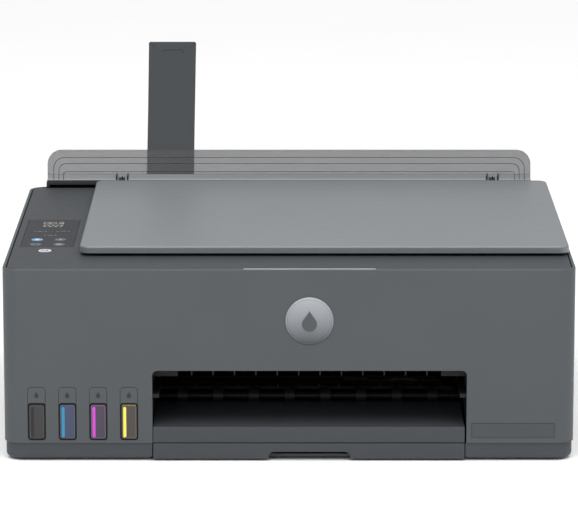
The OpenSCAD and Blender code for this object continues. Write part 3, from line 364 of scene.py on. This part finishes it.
badgeLow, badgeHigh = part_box("round_badge")
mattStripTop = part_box("rear_housing")[1].z + 3 * mm
finishes = {
    "casing_grey": mouldedPlastic("casingGrey", tone(74, 78, 81), 0.5),
    "base_grey": mouldedPlastic("baseGrey", tone(63, 67, 71), 0.55),
    "top_grey": mouldedPlastic("topGrey", tone(60, 63, 66), 0.5, fixed={"Specular IOR Level": 0.15}),
    "panel_dark": mouldedPlastic(
        "panelDark", tone(42, 45, 49), 0.42, depth=0.008, fixed={"Specular IOR Level": 0.1}
    ),
    "lid_silver": silverPaint("lidSilver", tone(116, 120, 124)),
    "inner_black": mouldedPlastic("innerBlack", tone(20, 20, 22), 0.55),
    "rear_black": mouldedPlastic("rearBlack", tone(47, 48, 51), 0.55, grain=1900, depth=0.03),
    "frame_black": glossPlastic(
        "frameBlack", tone(5, 5, 6), 0.3, fixed={"Coat Weight": 0.0, "Specular IOR Level": 0.2}
    ),
    # the badge's two tones are the dark and light ends of its painted reflection
    "badge_silver": satinBadgePaintedReflection("badgeSilver", tone(72, 75, 79), tone(168, 172, 176), badgeLow.z, badgeHigh.z),
    "flap_smoke": smokedSheet("flapSmoke", tone(82, 84, 87), 0.55, mattStripTop),
    "arm_grey": mouldedPlastic("armGrey", tone(46, 50, 53), 0.55),
    "tray_grey": mouldedPlastic("trayGrey", tone(62, 65, 69), 0.48),
    "tube_clear": glossPlastic("tubeClear", tone(150, 152, 158), 0.2),
    "steel": brushedMetal("steelStrip", tone(176, 178, 181), (0.15, 6, 6)),
    "rubber_black": softRubber("rubberBlack", tone(26, 26, 27)),
    "glass_clear": floatGlass("glassClear", tone(120, 140, 138), 0.3),
    "pad_white": paleFoam("padWhite", tone(236, 236, 233)),
    "board_green": circuitBoard("boardGreen", tone(20, 74, 44)),
    "button_grey": mouldedPlastic("buttonGrey", tone(84, 87, 91), 0.36, depth=0.006),
    "button_blue": litPlastic("buttonBlue", tone(96, 142, 172), tone(96, 150, 180), 0.12),
    "button_white": litPlastic("buttonWhite", tone(178, 180, 184), tone(190, 193, 196), 0.12),
    "latch_blue": glossPlastic("latchBlue", tone(38, 92, 160), 0.3),
    "gear_natural": mouldedPlastic("gearNatural", tone(214, 209, 192), 0.4, depth=0.01),
    "motor_metal": brushedMetal("motorCan", tone(132, 134, 138), (6, 0.3, 6), 0.38),
}
tankTones = {
    "black": (tone(64, 64, 66), tone(20, 20, 22)),
    "cyan": (tone(86, 104, 138), tone(28, 92, 150)),
    "magenta": (tone(110, 84, 118), tone(150, 40, 140)),
    "yellow": (tone(120, 108, 84), tone(206, 184, 40)),
}
inkShare = 0.36
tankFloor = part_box("tank_black")[0].z
inkLevel = tankFloor + inkShare * (topZ - tankFloor)
for ink, (shellTone, inkTone) in tankTones.items():
    finishes["ink_" + ink] = inkTank("tank_" + ink, shellTone, inkTone, inkLevel)
for node, part in nodes.items():
    part.data.materials.clear()
    part.data.materials.append(finishes[slotOfNode[node]])
print("finishes made:", len(finishes))


# picking and shaping
def deselectAll():
    if bpy.context.mode != "OBJECT":
        bpy.ops.object.mode_set(mode="OBJECT")
    bpy.ops.object.select_all(action="DESELECT")


def activate(piece):
    deselectAll()
    piece.select_set(True)
    bpy.context.view_layer.objects.active = piece


def pickFaces(piece, test):
    # leaves edit mode with only the faces that pass the test selected
    bpy.ops.object.mode_set(mode="OBJECT")
    mesh = piece.data
    for item in list(mesh.vertices) + list(mesh.edges):
        item.select = False
    for face in mesh.polygons:
        face.select = test(face)
    bpy.ops.object.mode_set(mode="EDIT")
    bpy.ops.mesh.select_mode(type="FACE")


def pickEdges(piece, test):
    # test gets an edge's two ends
    bpy.ops.object.mode_set(mode="EDIT")
    bpy.ops.mesh.select_mode(type="EDGE")
    bpy.ops.mesh.select_all(action="DESELECT")
    bpy.ops.object.mode_set(mode="OBJECT")
    mesh = piece.data
    for edge in mesh.edges:
        edge.select = test(*(mesh.vertices[v].co for v in edge.vertices))
    bpy.ops.object.mode_set(mode="EDIT")


def settle(piece, name, body, slotName, finish=None, angle=32):
    # places the finished piece in its mesh, names it and gives it its body and finish
    activate(piece)
    bpy.ops.object.transform_apply(location=True, rotation=True, scale=True)
    if angle:
        bpy.ops.object.shade_smooth_by_angle(angle=math.radians(angle))
    piece.name = name
    piece.data.name = name
    if not piece.data.materials:
        piece.data.materials.append(finish or finishes[slotName])
    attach(piece, body)
    return piece


def refine(node, name, rounding, soften=0.12):
    # a copy of a part with its sharp edges rounded: rounding(middle, along) gives a radius in mm or None
    piece = bpy.data.objects.new(name, nodes[node].data.copy())
    scene.collection.objects.link(piece)
    activate(piece)
    bpy.ops.object.mode_set(mode="EDIT")
    bpy.ops.mesh.select_all(action="SELECT")
    bpy.ops.mesh.remove_doubles(threshold=0.002 * mm)
    bpy.ops.mesh.select_mode(type="EDGE")
    bpy.ops.mesh.select_all(action="DESELECT")
    bpy.ops.mesh.edges_select_sharp(sharpness=math.radians(28))
    bpy.ops.object.mode_set(mode="OBJECT")
    mesh = piece.data
    radii = [0.0] * len(mesh.edges)
    for edge in mesh.edges:
        if edge.select:
            start, end = (mesh.vertices[v].co for v in edge.vertices)
            wanted = rounding((start + end) / 2, end - start) if rounding else None
            radii[edge.index] = soften if wanted is None else wanted
    widest = max(radii)
    weights = mesh.attributes.get("bevel_weight_edge") or mesh.attributes.new("bevel_weight_edge", "FLOAT", "EDGE")
    weights.data.foreach_set("value", [radius / widest for radius in radii])
    bevel = piece.modifiers.new("rounding", "BEVEL")
    bevel.limit_method = "WEIGHT"
    bevel.offset_type = "OFFSET"
    bevel.width = widest * mm
    bevel.segments = 3 if widest > 0.5 else 2
    bevel.use_clamp_overlap = False
    bevel.miter_outer = "MITER_ARC"
    bevel.face_strength_mode = "FSTR_ALL"
    bevel.loop_slide = False
    bpy.ops.object.modifier_apply(modifier="rounding")
    bpy.ops.object.shade_smooth_by_angle(angle=math.radians(32))
    facing = piece.modifiers.new("facing", "WEIGHTED_NORMAL")
    facing.keep_sharp = True
    facing.use_face_influence = True
    bpy.ops.object.modifier_apply(modifier="facing")
    piece.data.materials.clear()
    piece = settle(piece, name, bodyOfNode[node], slotOfNode[node], angle=None)
    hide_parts(node)
    return piece


def near(value, target, tolerance=0.2):
    return abs(value - target) < tolerance * mm


# outer casing: soft rim and corners, crisp round the opening and the windows
casingSet = {"rim": 0.9, "seam": 0.35, "opening": 0.5, "corner": 12}
openingSet = {"middleX": 15.6, "halfWide": 122, "top": 75}


def casingRounding(middle, along):
    atSide = near(abs(middle.x), casingHigh.x) or abs(middle.x) > casingHigh.x - casingSet["corner"] * mm
    atFront = near(middle.y, frontY)
    if near(middle.z, topZ) and (atSide or atFront):
        return casingSet["rim"]
    if near(middle.z, casingLow.z) and (atSide or atFront):
        return casingSet["seam"]
    inOpening = abs(middle.x - openingSet["middleX"] * mm) < openingSet["halfWide"] * mm
    if atFront and inOpening and middle.z < openingSet["top"] * mm:
        return casingSet["opening"]
    return None


refine("outer_casing", "frontCasing", casingRounding)


def baseRounding(middle, along):
    low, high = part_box("base_chassis")
    if near(middle.z, low.z) and abs(along.z) < 0.01 * mm:
        return 3.2
    return None


refine("base_chassis", "baseShell", baseRounding)


def rearRounding(middle, along):
    low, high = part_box("rear_housing")
    if middle.z > topZ + 2 * mm or near(middle.y, high.y):
        return 0.5
    return None


refine("rear_housing", "rearShell", rearRounding)


def lidRounding(middle, along):
    low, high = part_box("lid_cover")
    if near(middle.z, high.z):
        return 1.7
    if near(middle.z, low.z):
        return 0.5
    return None


refine("lid_cover", "scannerLid", lidRounding)


def topRounding(middle, along):
    low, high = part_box("top_plate")
    atEdge = near(abs(middle.x), high.x) or near(middle.y, low.y, 0.6) or near(middle.y, high.y)
    return 0.45 if atEdge and middle.z > topZ - 2.5 * mm else None


refine("top_plate", "topPlate", topRounding)
for node, name, radius in (
    ("window_frames", "windowRings", 0.25), ("output_bay", "outputBay", 0.25),
    ("output_tray", "outputTray", 0.4), ("tray_extender", "trayExtender", 0.5), ("paper_stop", "paperStop", 0.2),
    ("control_panel", "controlPanel", 0.1), ("input_cover", "inputCover", 0.12),
    ("paper_support", "paperSupport", 0.35),
    ("lid_pad", "lidPad", 0.6), ("rear_sockets", "rearSockets", 0.2), ("casing_screws", "casingScrews", 0.12),
    ("rubber_feet", "rubberFeet", 0.8), ("head_latch", "headLatch", 0.3), ("carriage", "printCarriage", 0.3),
    ("scanner_tub", "scannerTub", 0.3), ("guide_left", "paperGuideLeft", 0.25),
    ("guide_right", "paperGuideRight", 0.25),
    ("exit_roller", "exitRoller", 0.15), ("feed_roller", "feedRoller", 0.15), ("power_button", "powerButton", 0.3),
    ("wireless_button", "wirelessButton", 0.25), ("info_button", "infoButton", 0.25),
    ("cancel_button", "cancelButton", 0.25), ("resume_button", "resumeButton", 0.25),
):
    refine(node, name, None, radius)
for ink in inks:
    refine("tank_" + ink, "inkTank." + ink, None, 0.25)
    refine("cap_" + ink, "tankCap." + ink, None, 0.35)
print("shells refined")


def paintFaces(piece, finish, test):
    # gives the faces that pass the test a second finish
    piece.data.materials.append(finish)
    index = len(piece.data.materials) - 1
    for face in piece.data.polygons:
        if test(face):
            face.material_index = index


# the sloping floor of the finger notch is painted pale: a painted highlight for the light its slope catches
notchSet = {"middleX": 15.5, "halfWide": 50.2, "depth": 16}
notchHighlightFinish = mouldedPlastic("notchPaintedHighlight", tone(215, 218, 222), 0.4)


def inNotch(face):
    within = abs(face.center.x - notchSet["middleX"] * mm) < notchSet["halfWide"] * mm
    sloping = -0.97 < face.normal.y < -0.1 and face.normal.z > 0.2
    return within and sloping and face.center.y < frontY + notchSet["depth"] * mm


# the notch's sloping faces get the painted highlight
paintFaces(bpy.data.objects["topPlate"], notchHighlightFinish, inNotch)

# input cover: the grooves and the sheet's edges are painted dark and nearly opaque, as painted shade
flapSet = {"lean": 10, "topBand": 6, "grooveFrom": 0.06, "grooveTo": 0.4}
flap = bpy.data.objects["inputCover"]
flapLean = math.radians(flapSet["lean"])
outward = Vector((0, -math.cos(flapLean), math.sin(flapLean)))
flapTop = max(v.co.z for v in flap.data.vertices)
flapFront = max(v.co.dot(outward) for v in flap.data.vertices if v.co.z > flapTop - flapSet["topBand"] * mm)


def inGroove(face):
    depth = flapFront - face.center.dot(outward)
    atEdge = abs(face.normal.dot(outward)) < 0.8
    return flapSet["grooveFrom"] * mm < depth < flapSet["grooveTo"] * mm or atEdge


# painted shade: a dark, nearly opaque finish on the groove and edge faces
paintFaces(flap, smokedSheet("flapGrooveShade", tone(34, 36, 38), 0.95), inGroove)

# rollers: dark shafts with rubber tyres
tyreShare = 0.72
for rollerNode, rollerName in (("exit_roller", "exitRoller"), ("feed_roller", "feedRoller")):
    roller = bpy.data.objects[rollerName]
    axisLow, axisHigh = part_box(rollerNode)
    axis = (axisLow + axisHigh) / 2
    tyre = tyreShare * (axisHigh.z - axisLow.z) / 2
    roller.data.materials[0] = mouldedPlastic(rollerName + "Shaft", tone(34, 35, 37), 0.4, depth=0.006)
    paintFaces(roller, finishes["rubber_black"], lambda f: (
        math.hypot(f.center.y - axis.y, f.center.z - axis.z) > tyre
    ))


# new pieces: primitives added in place, then worked on in edit mode
def newBlock(middle, size):
    deselectAll()
    bpy.ops.mesh.primitive_cube_add(size=1, location=middle, scale=size)
    bpy.ops.object.transform_apply(location=True, rotation=True, scale=True)
    return bpy.context.active_object


def newDisc(middle, radius, sides=40, turn=(0, 0, 0)):
    deselectAll()
    bpy.ops.mesh.primitive_circle_add(vertices=sides, radius=radius, fill_type="NGON", location=middle, rotation=turn)
    bpy.ops.object.transform_apply(location=True, rotation=True, scale=True)
    return bpy.context.active_object


def roundAlong(piece, axis, radius, segments=5):
    # rounds the edges that run along an axis
    def runsAlong(start, end):
        edge = end - start
        return abs(edge[axis]) > 0.99 * edge.length

    pickEdges(piece, runsAlong)
    bpy.ops.mesh.bevel(offset=radius, segments=segments, affect="EDGES")
    bpy.ops.object.mode_set(mode="OBJECT")


def raiseFaces(piece, test, move, inset=None):
    # insets and then extrudes the faces that pass the test
    pickFaces(piece, test)
    if inset:
        bpy.ops.mesh.inset(thickness=inset)
    bpy.ops.mesh.extrude_region_move(TRANSFORM_OT_translate={"value": move})
    bpy.ops.object.mode_set(mode="OBJECT")


def joinAll(pieces):
    deselectAll()
    for piece in pieces:
        piece.select_set(True)
    bpy.context.view_layer.objects.active = pieces[0]
    bpy.ops.object.join()
    return pieces[0]


def facesFront(face):
    return face.normal.y < -0.9


# ink windows: a lens sunk in its black ring, with a paler rim that is a painted highlight, and a column of ink at its
# left that glows as painted light
windowSet = {
    "left": 1.3, "right": 1.3, "top": 1.9, "bottom": 1.4, "face": 0.3, "thick": 0.38, "corner": 1.3,
    "rim": 0.65, "floor": 0.2, "columnLeft": 2.35, "columnWide": 2.3, "columnTop": 3.1, "columnBottom": 2.2,
}
# for each ink: the lens body, the rim's painted highlight, and the ink column
windowTones = {
    "black": (tone(24, 24, 25), tone(50, 50, 51), tone(1, 1, 1)),
    "cyan": (tone(40, 52, 82), tone(68, 76, 100), tone(30, 122, 160)),
    "magenta": (tone(52, 38, 62), tone(92, 78, 98), tone(186, 60, 184)),
    "yellow": (tone(54, 46, 40), tone(94, 82, 70), tone(222, 214, 84)),
}
ringLow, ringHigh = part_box("window_frames")
windowWide = ringHigh.x - centreOf("cap_yellow").x
for ink in inks:
    bodyTone, rimHighlightTone, columnTone = windowTones[ink]
    middleX = centreOf("cap_" + ink).x
    left = middleX - windowWide + windowSet["left"] * mm
    right = middleX + windowWide - windowSet["right"] * mm
    low = ringLow.z + windowSet["bottom"] * mm
    high = ringHigh.z - windowSet["top"] * mm
    face = frontY + windowSet["face"] * mm
    back = face + windowSet["thick"] * mm
    lens = newBlock(
        ((left + right) / 2, (face + back) / 2, (low + high) / 2), (right - left, back - face, high - low)
    )
    roundAlong(lens, 1, windowSet["corner"] * mm, 6)
    raiseFaces(lens, facesFront, (0, windowSet["floor"] * mm, 0), windowSet["rim"] * mm)
    sunk = face + 0.5 * windowSet["floor"] * mm
    # the rim and sides take the paler tone: a painted highlight
    lens.data.materials.append(glossPlastic("windowRim_" + ink, rimHighlightTone, 0.25))
    paintFaces(lens, glossPlastic("windowBody_" + ink, bodyTone, 0.2), lambda f: facesFront(f) and f.center.y > sunk)
    settle(lens, "windowLens." + ink, "printer_body", "ink_" + ink)
    columnWide = windowSet["columnWide"] * mm
    columnX = middleX - windowWide + windowSet["columnLeft"] * mm + columnWide / 2
    columnLow = ringLow.z + windowSet["columnBottom"] * mm
    columnHigh = ringHigh.z - windowSet["columnTop"] * mm
    column = newBlock(
        (columnX, face + windowSet["floor"] * mm * 0.8, (columnLow + columnHigh) / 2),
        (columnWide, windowSet["floor"] * mm, columnHigh - columnLow),
    )
    roundAlong(column, 1, columnWide * 0.49, 8)
    raiseFaces(column, facesFront, (0, -0.05 * mm, 0), 0.25 * mm)
    # the column has the ink's colour; its glow is painted light, since no lamp lights it
    columnFinish = litPlastic("inkColumn_" + ink, columnTone, columnTone, 0.0 if ink == "black" else 0.1)
    settle(column, "inkColumn." + ink, "printer_body", "ink_" + ink, columnFinish)
print("ink windows made")


def pickPoints(piece, test):
    # leaves edit mode open with just the chosen points selected
    activate(piece)
    for item in list(piece.data.edges) + list(piece.data.polygons):
        item.select = False
    for vertex in piece.data.vertices:
        vertex.select = test(vertex.co)
    bpy.ops.object.mode_set(mode="EDIT")
    bpy.ops.mesh.select_mode(type="VERT")


# a plain drop: straight sides from a tip that stands over a disc, then given its thickness
def newDrop(middle, radius, thickness):
    drop = newDisc(middle, radius, 32, turn=(math.radians(90), 0, 0))
    pickPoints(drop, lambda co: 0.6 * radius < co.z - middle[2] < 0.995 * radius)
    bpy.ops.mesh.dissolve_verts()
    bpy.ops.object.mode_set(mode="OBJECT")
    pickPoints(drop, lambda co: co.z - middle[2] > 0.995 * radius)
    bpy.ops.transform.translate(value=(0, 0, 0.75 * radius))
    bpy.ops.mesh.select_all(action="SELECT")
    bpy.ops.mesh.extrude_region_move(TRANSFORM_OT_translate={"value": (0, thickness, 0)})
    bpy.ops.mesh.select_all(action="SELECT")
    bpy.ops.mesh.normals_make_consistent(inside=False)
    bpy.ops.object.mode_set(mode="OBJECT")
    return drop


# marks printed on the tabs over the windows
tabSet = {"centreAbove": 5.6, "radius": 1.75, "proud": 0.06}
markFinish = mouldedPlastic("tabMark", tone(44, 47, 49), 0.6, depth=0.006)
for ink in inks:
    place = (centreOf("cap_" + ink).x, frontY - tabSet["proud"] * mm, ringHigh.z + tabSet["centreAbove"] * mm)
    drop = newDrop(place, tabSet["radius"] * mm, (tabSet["proud"] + 0.1) * mm)
    settle(drop, "tabMark." + ink, "printer_body", "casing_grey", markFinish)


# round badge: a slightly domed satin disc with a raised rim and a plain drop let into it
badgeSet = {
    "edge": 0.3, "edgeRise": 0.25, "rim": 1.1, "step": 0.2, "sink": 0.35, "clear": 0.6, "rings": 9, "dome": 1.2,
    "dropRadius": 5.6, "dropLow": 2.2, "dropOut": 1.6, "dropThick": 1.2,
}
badgeMiddle = (badgeLow + badgeHigh) / 2
badgeRadius = (badgeHigh.x - badgeLow.x) / 2
badge = newDisc((badgeMiddle.x, badgeHigh.y, badgeMiddle.z), badgeRadius, 96, turn=(math.radians(90), 0, 0))
pickFaces(badge, lambda f: True)
bpy.ops.mesh.normals_make_consistent(inside=False)
bpy.ops.mesh.extrude_region_move(TRANSFORM_OT_translate={"value": (0, badgeLow.y - badgeHigh.y, 0)})
bpy.ops.mesh.inset(thickness=badgeSet["edge"] * mm)
bpy.ops.transform.translate(value=(0, -badgeSet["edgeRise"] * mm, 0))
bpy.ops.mesh.inset(thickness=badgeSet["rim"] * mm)
bpy.ops.mesh.inset(thickness=badgeSet["step"] * mm)
bpy.ops.transform.translate(value=(0, badgeSet["sink"] * mm, 0))
ringStep = (badgeRadius - (badgeSet["rim"] + badgeSet["clear"]) * mm) / (badgeSet["rings"] + 1)
for ring in range(badgeSet["rings"]):
    # a shallow dome: each ring rises less than the one outside it
    rise = badgeSet["dome"] * mm * (2 * (badgeSet["rings"] - ring) - 1) / badgeSet["rings"] ** 2
    bpy.ops.mesh.inset(thickness=ringStep)
    bpy.ops.transform.translate(value=(0, -rise, 0))
bpy.ops.mesh.select_all(action="SELECT")
bpy.ops.mesh.fill_holes(sides=0)
bpy.ops.mesh.select_all(action="SELECT")
bpy.ops.mesh.normals_make_consistent(inside=False)
bpy.ops.object.mode_set(mode="OBJECT")
settle(badge, "roundBadge", "printer_body", "badge_silver", angle=40)
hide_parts("round_badge")
dropPlace = (
    badgeMiddle.x, badgeLow.y - badgeSet["dropOut"] * mm, badgeMiddle.z - badgeSet["dropLow"] * mm
)
badgeDrop = newDrop(dropPlace, badgeSet["dropRadius"] * mm, badgeSet["dropThick"] * mm)
settle(badgeDrop, "badgeDrop", "printer_body", "casing_grey", finishes["casing_grey"])


# blank name plate in its recess, low at the right
plateSet = {
    "middleX": 170.7, "middleZ": 23.95, "wide": 63.3, "high": 11.2, "corner": 0.8,
    "behind": 0.28, "thick": 0.4, "sink": 0.08, "rim": 0.45,
}
plateMiddle = (plateSet["middleX"] * mm, frontY + plateSet["behind"] * mm, plateSet["middleZ"] * mm)
namePlate = newBlock(plateMiddle, (plateSet["wide"] * mm, plateSet["thick"] * mm, plateSet["high"] * mm))
roundAlong(namePlate, 1, plateSet["corner"] * mm, 4)
raiseFaces(namePlate, facesFront, (0, plateSet["sink"] * mm, 0), plateSet["rim"] * mm)
plateFinish = mouldedPlastic("namePlate", tone(67, 71, 74), 0.4, depth=0.008)
settle(namePlate, "namePlate", "printer_body", "casing_grey", plateFinish)
print("front details made")


# marks on the control panel: every one is a thin plate a hair above the insert
panelLow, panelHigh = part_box("control_panel")
panelMiddle = (panelLow + panelHigh) / 2
markSet = {"base": -0.1, "proud": 0.06}


def bar(x, y, wide, deep, turn=0.0, top=panelHigh.z):
    # a bar with softened corners, x and y in mm from the panel's middle line and front
    low = top + markSet["base"] * mm
    high = top + markSet["proud"] * mm
    middle = Vector((panelMiddle.x + x * mm, panelLow.y + y * mm, (low + high) / 2))
    piece = newBlock(middle, (wide * mm, deep * mm, high - low))
    roundAlong(piece, 2, min(wide, deep) * 0.3 * mm, 2)
    if turn:
        activate(piece)
        bpy.ops.object.mode_set(mode="EDIT")
        bpy.ops.mesh.select_all(action="SELECT")
        bpy.ops.transform.rotate(value=-math.radians(turn), orient_axis="Z", center_override=middle)
        bpy.ops.object.mode_set(mode="OBJECT")
    return piece


def arc(x, y, radius, wide, start, sweep, top=panelHigh.z):
    # a bent band: its end face spun round the middle
    low = top + markSet["base"] * mm
    high = top + markSet["proud"] * mm
    centre = Vector((panelMiddle.x + x * mm, panelLow.y + y * mm, 0))
    reach = Vector((math.cos(math.radians(start)), math.sin(math.radians(start)), 0)) * radius * mm
    deselectAll()
    bpy.ops.mesh.primitive_plane_add(
        size=1, location=centre + reach + Vector((0, 0, (low + high) / 2)),
        rotation=(math.radians(90), 0, math.radians(start)),
    )
    piece = bpy.context.active_object
    piece.scale = (wide * mm, high - low, 1)
    bpy.ops.object.transform_apply(location=True, rotation=True, scale=True)
    bpy.ops.object.mode_set(mode="EDIT")
    bpy.ops.mesh.select_all(action="SELECT")
    bpy.ops.mesh.spin(steps=max(4, int(abs(sweep) / 15)), angle=-math.radians(sweep), center=centre, axis=(0, 0, 1))
    bpy.ops.mesh.select_all(action="SELECT")
    bpy.ops.mesh.remove_doubles(threshold=0.001 * mm)
    bpy.ops.mesh.fill_holes(sides=4)
    bpy.ops.mesh.select_all(action="SELECT")
    bpy.ops.mesh.normals_make_consistent(inside=False)
    bpy.ops.object.mode_set(mode="OBJECT")
    return piece


def dot(x, y, radius, top=panelHigh.z, sides=16):
    low = top + markSet["base"] * mm
    high = top + markSet["proud"] * mm
    piece = newDisc((panelMiddle.x + x * mm, panelLow.y + y * mm, low), radius * mm, sides)
    raiseFaces(piece, lambda f: True, (0, 0, high - low))
    activate(piece)
    bpy.ops.object.mode_set(mode="EDIT")
    bpy.ops.mesh.select_all(action="SELECT")
    bpy.ops.mesh.fill_holes(sides=0)
    bpy.ops.mesh.normals_make_consistent(inside=False)
    bpy.ops.object.mode_set(mode="OBJECT")
    return piece


# display: two seven-segment figures with small signs beside and below them
displaySet = {"middleY": 88.8, "figureHigh": 8.4, "figureWide": 4.2, "segment": 0.8, "figureY": 4.6}
displayTop = panelHigh.z
displayY = displaySet["middleY"]
display = []
figureHigh, figureWide, segment = displaySet["figureHigh"], displaySet["figureWide"], displaySet["segment"]
figureY = displayY + displaySet["figureY"]
for figureX in (-5.6, -0.2):
    for row in (-1, 0, 1):
        display.append(bar(figureX, figureY + row * figureHigh / 2, figureWide - segment, segment, 0, displayTop))
    for side in (-1, 1):
        for row in (-1, 1):
            display.append(bar(
                figureX + side * figureWide / 2, figureY + row * figureHigh / 4,
                segment, figureHigh / 2 - segment, 0, displayTop,
            ))
for step in range(4):
    display.append(bar(4.2 + step * 1.2, displayY + 2.0 + step * 0.6, 0.8, 2.4 + step * 1.4, 0, displayTop))
display.append(arc(6.0, displayY + 8.6, 1.6, 0.5, 20, 320, displayTop))
for step in range(5):
    display.append(bar(-7.0 + step * 3.5, displayY - 4.2, 2.3, 1.7, 0, displayTop))
for step in range(4):
    display.append(dot(-6.6 + step * 4.4, displayY - 8.2, 1.15, displayTop))
display.append(bar(0, displayY - 10.8, 14.5, 0.5, 0, displayTop))
displayGlow = litPlastic("displayGlow", tone(150, 143, 139), tone(150, 143, 139), 0.12)
settle(joinAll(display), "displayFigures", "hatch", "panel_dark", displayGlow)

# two rows of small status marks over the buttons
status = []
for x, y in ((-13.0, 60.7), (-4.3, 60.7), (5.0, 60.7), (13.7, 60.7), (-4.1, 45.0), (4.3, 45.0)):
    status.append(dot(x, y, 0.75))
for x, y, wide in ((-8.7, 60.7, 5.2), (9.4, 60.7, 5.2), (0.1, 45.0, 4.6)):
    status.append(bar(x, y - 0.9, wide, 0.4))
    status.append(bar(x, y + 0.9, wide * 0.6, 0.4))
statusGlow = litPlastic("statusGlow", tone(122, 122, 124), tone(120, 120, 122), 0.03)
settle(joinAll(status), "statusMarks", "hatch", "panel_dark", statusGlow)


def onButton(node):
    # where a button's face is, in mm from the panel's middle line and front
    low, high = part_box(node)
    middle = (low + high) / 2
    return (middle.x - panelMiddle.x) / mm, (middle.y - panelLow.y) / mm, high.z


paleMark = litPlastic("paleMark", tone(170, 172, 174), tone(170, 172, 174), 0.05)
darkMark = mouldedPlastic("darkMark", tone(44, 45, 48), 0.5, depth=0.004)
x, y, top = onButton("power_button")
power = [arc(x, y, 2.3, 0.55, 120, 300, top), bar(x, y + 1.7, 0.55, 2.6, 0, top)]
settle(joinAll(power), "powerSign", "power_key", "button_white", darkMark)
x, y, top = onButton("wireless_button")
wireless = [dot(x, y - 1.9, 0.5, top)] + [arc(x, y - 1.9, radius, 0.5, 45, 90, top) for radius in (1.6, 2.9)]
wirelessMark = litPlastic("wirelessMark", tone(225, 238, 246), tone(225, 238, 246), 0.2)
settle(joinAll(wireless), "wirelessSign", "wireless_key", "button_blue", wirelessMark)
x, y, top = onButton("info_button")
info = [dot(x, y + 1.8, 0.55, top), bar(x, y - 0.7, 0.9, 2.9, 0, top)]
settle(joinAll(info), "infoSign", "info_key", "button_grey", paleMark)
x, y, top = onButton("cancel_button")
cancel = [bar(x, y, 4.0, 0.7, turn, top) for turn in (45, -45)]
settle(joinAll(cancel), "cancelSign", "cancel_key", "button_grey", darkMark)
x, y, top = onButton("resume_button")
resume = [
    arc(x, y, 2.2, 0.5, 60, 270, top), bar(x + 1.3, y + 1.9, 1.7, 0.5, 20, top),
    bar(x, y - 0.1, 1.6, 0.6, 0, top),
]
settle(joinAll(resume), "resumeSign", "resume_key", "button_grey", paleMark)
print("panel marks made")


# hinge clips in the slits of the input cover: two prongs and a short tongue at each end
clipSet = {
    "middleX": 15.5, "apart": 155.5, "prongOut": 4.6, "prongWide": 0.9, "prongHigh": 5.8, "tongueHigh": 3.2,
    "thick": 2.3, "behind": 0.9, "above": 1.3,
}
coverLow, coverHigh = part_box("input_cover")
clipMiddle = (coverLow.x + coverHigh.x) / 2 + clipSet["middleX"] * mm
clips = []
for side in (-1, 1):
    clipX = clipMiddle + side * clipSet["apart"] * mm
    for out, high in ((-1, clipSet["prongHigh"]), (0, clipSet["tongueHigh"]), (1, clipSet["prongHigh"])):
        clip = newBlock(
            (
                clipX + out * clipSet["prongOut"] * mm, coverLow.y + clipSet["behind"] * mm,
                coverLow.z + (clipSet["above"] + high / 2) * mm,
            ),
            (clipSet["prongWide"] * mm, clipSet["thick"] * mm, high * mm),
        )
        roundAlong(clip, 0, 0.3 * mm, 3)
        clips.append(clip)
settle(joinAll(clips), "coverClips", "input_flap", "rear_black", finishes["frame_black"])
print("cover clips made")


# floor and walls
bpy.ops.mesh.primitive_plane_add(size=40, location=(0, 0, 0))
floor = bpy.context.active_object
floor.name = "floor"
floorFinish = Finish("paleFloor")
floor.data.materials.append(floorFinish.put({
    "Base Color": floorFinish.blend(floorFinish.noise(6, 2), (0.96, 0.96, 0.96, 1), (0.99, 0.99, 0.99, 1)),
    "Roughness": 0.7,
}))

world = bpy.data.worlds.new("studio")
scene.world = world
world.use_nodes = True
worldNodes = world.node_tree.nodes
background = worldNodes["Background"]
direction = worldNodes.new("ShaderNodeTexCoord")
split = worldNodes.new("ShaderNodeSeparateXYZ")
ramp = worldNodes.new("ShaderNodeValToRGB")
ramp.color_ramp.elements[0].position = 0.05
ramp.color_ramp.elements[0].color = (lightSet["wall"],) * 3 + (1,)
ramp.color_ramp.elements[1].position = 0.75
ramp.color_ramp.elements[1].color = (lightSet["ceiling"],) * 3 + (1,)
world.node_tree.links.new(direction.outputs["Generated"], split.inputs[0])
world.node_tree.links.new(split.outputs["Z"], ramp.inputs[0])
world.node_tree.links.new(ramp.outputs[0], background.inputs["Color"])
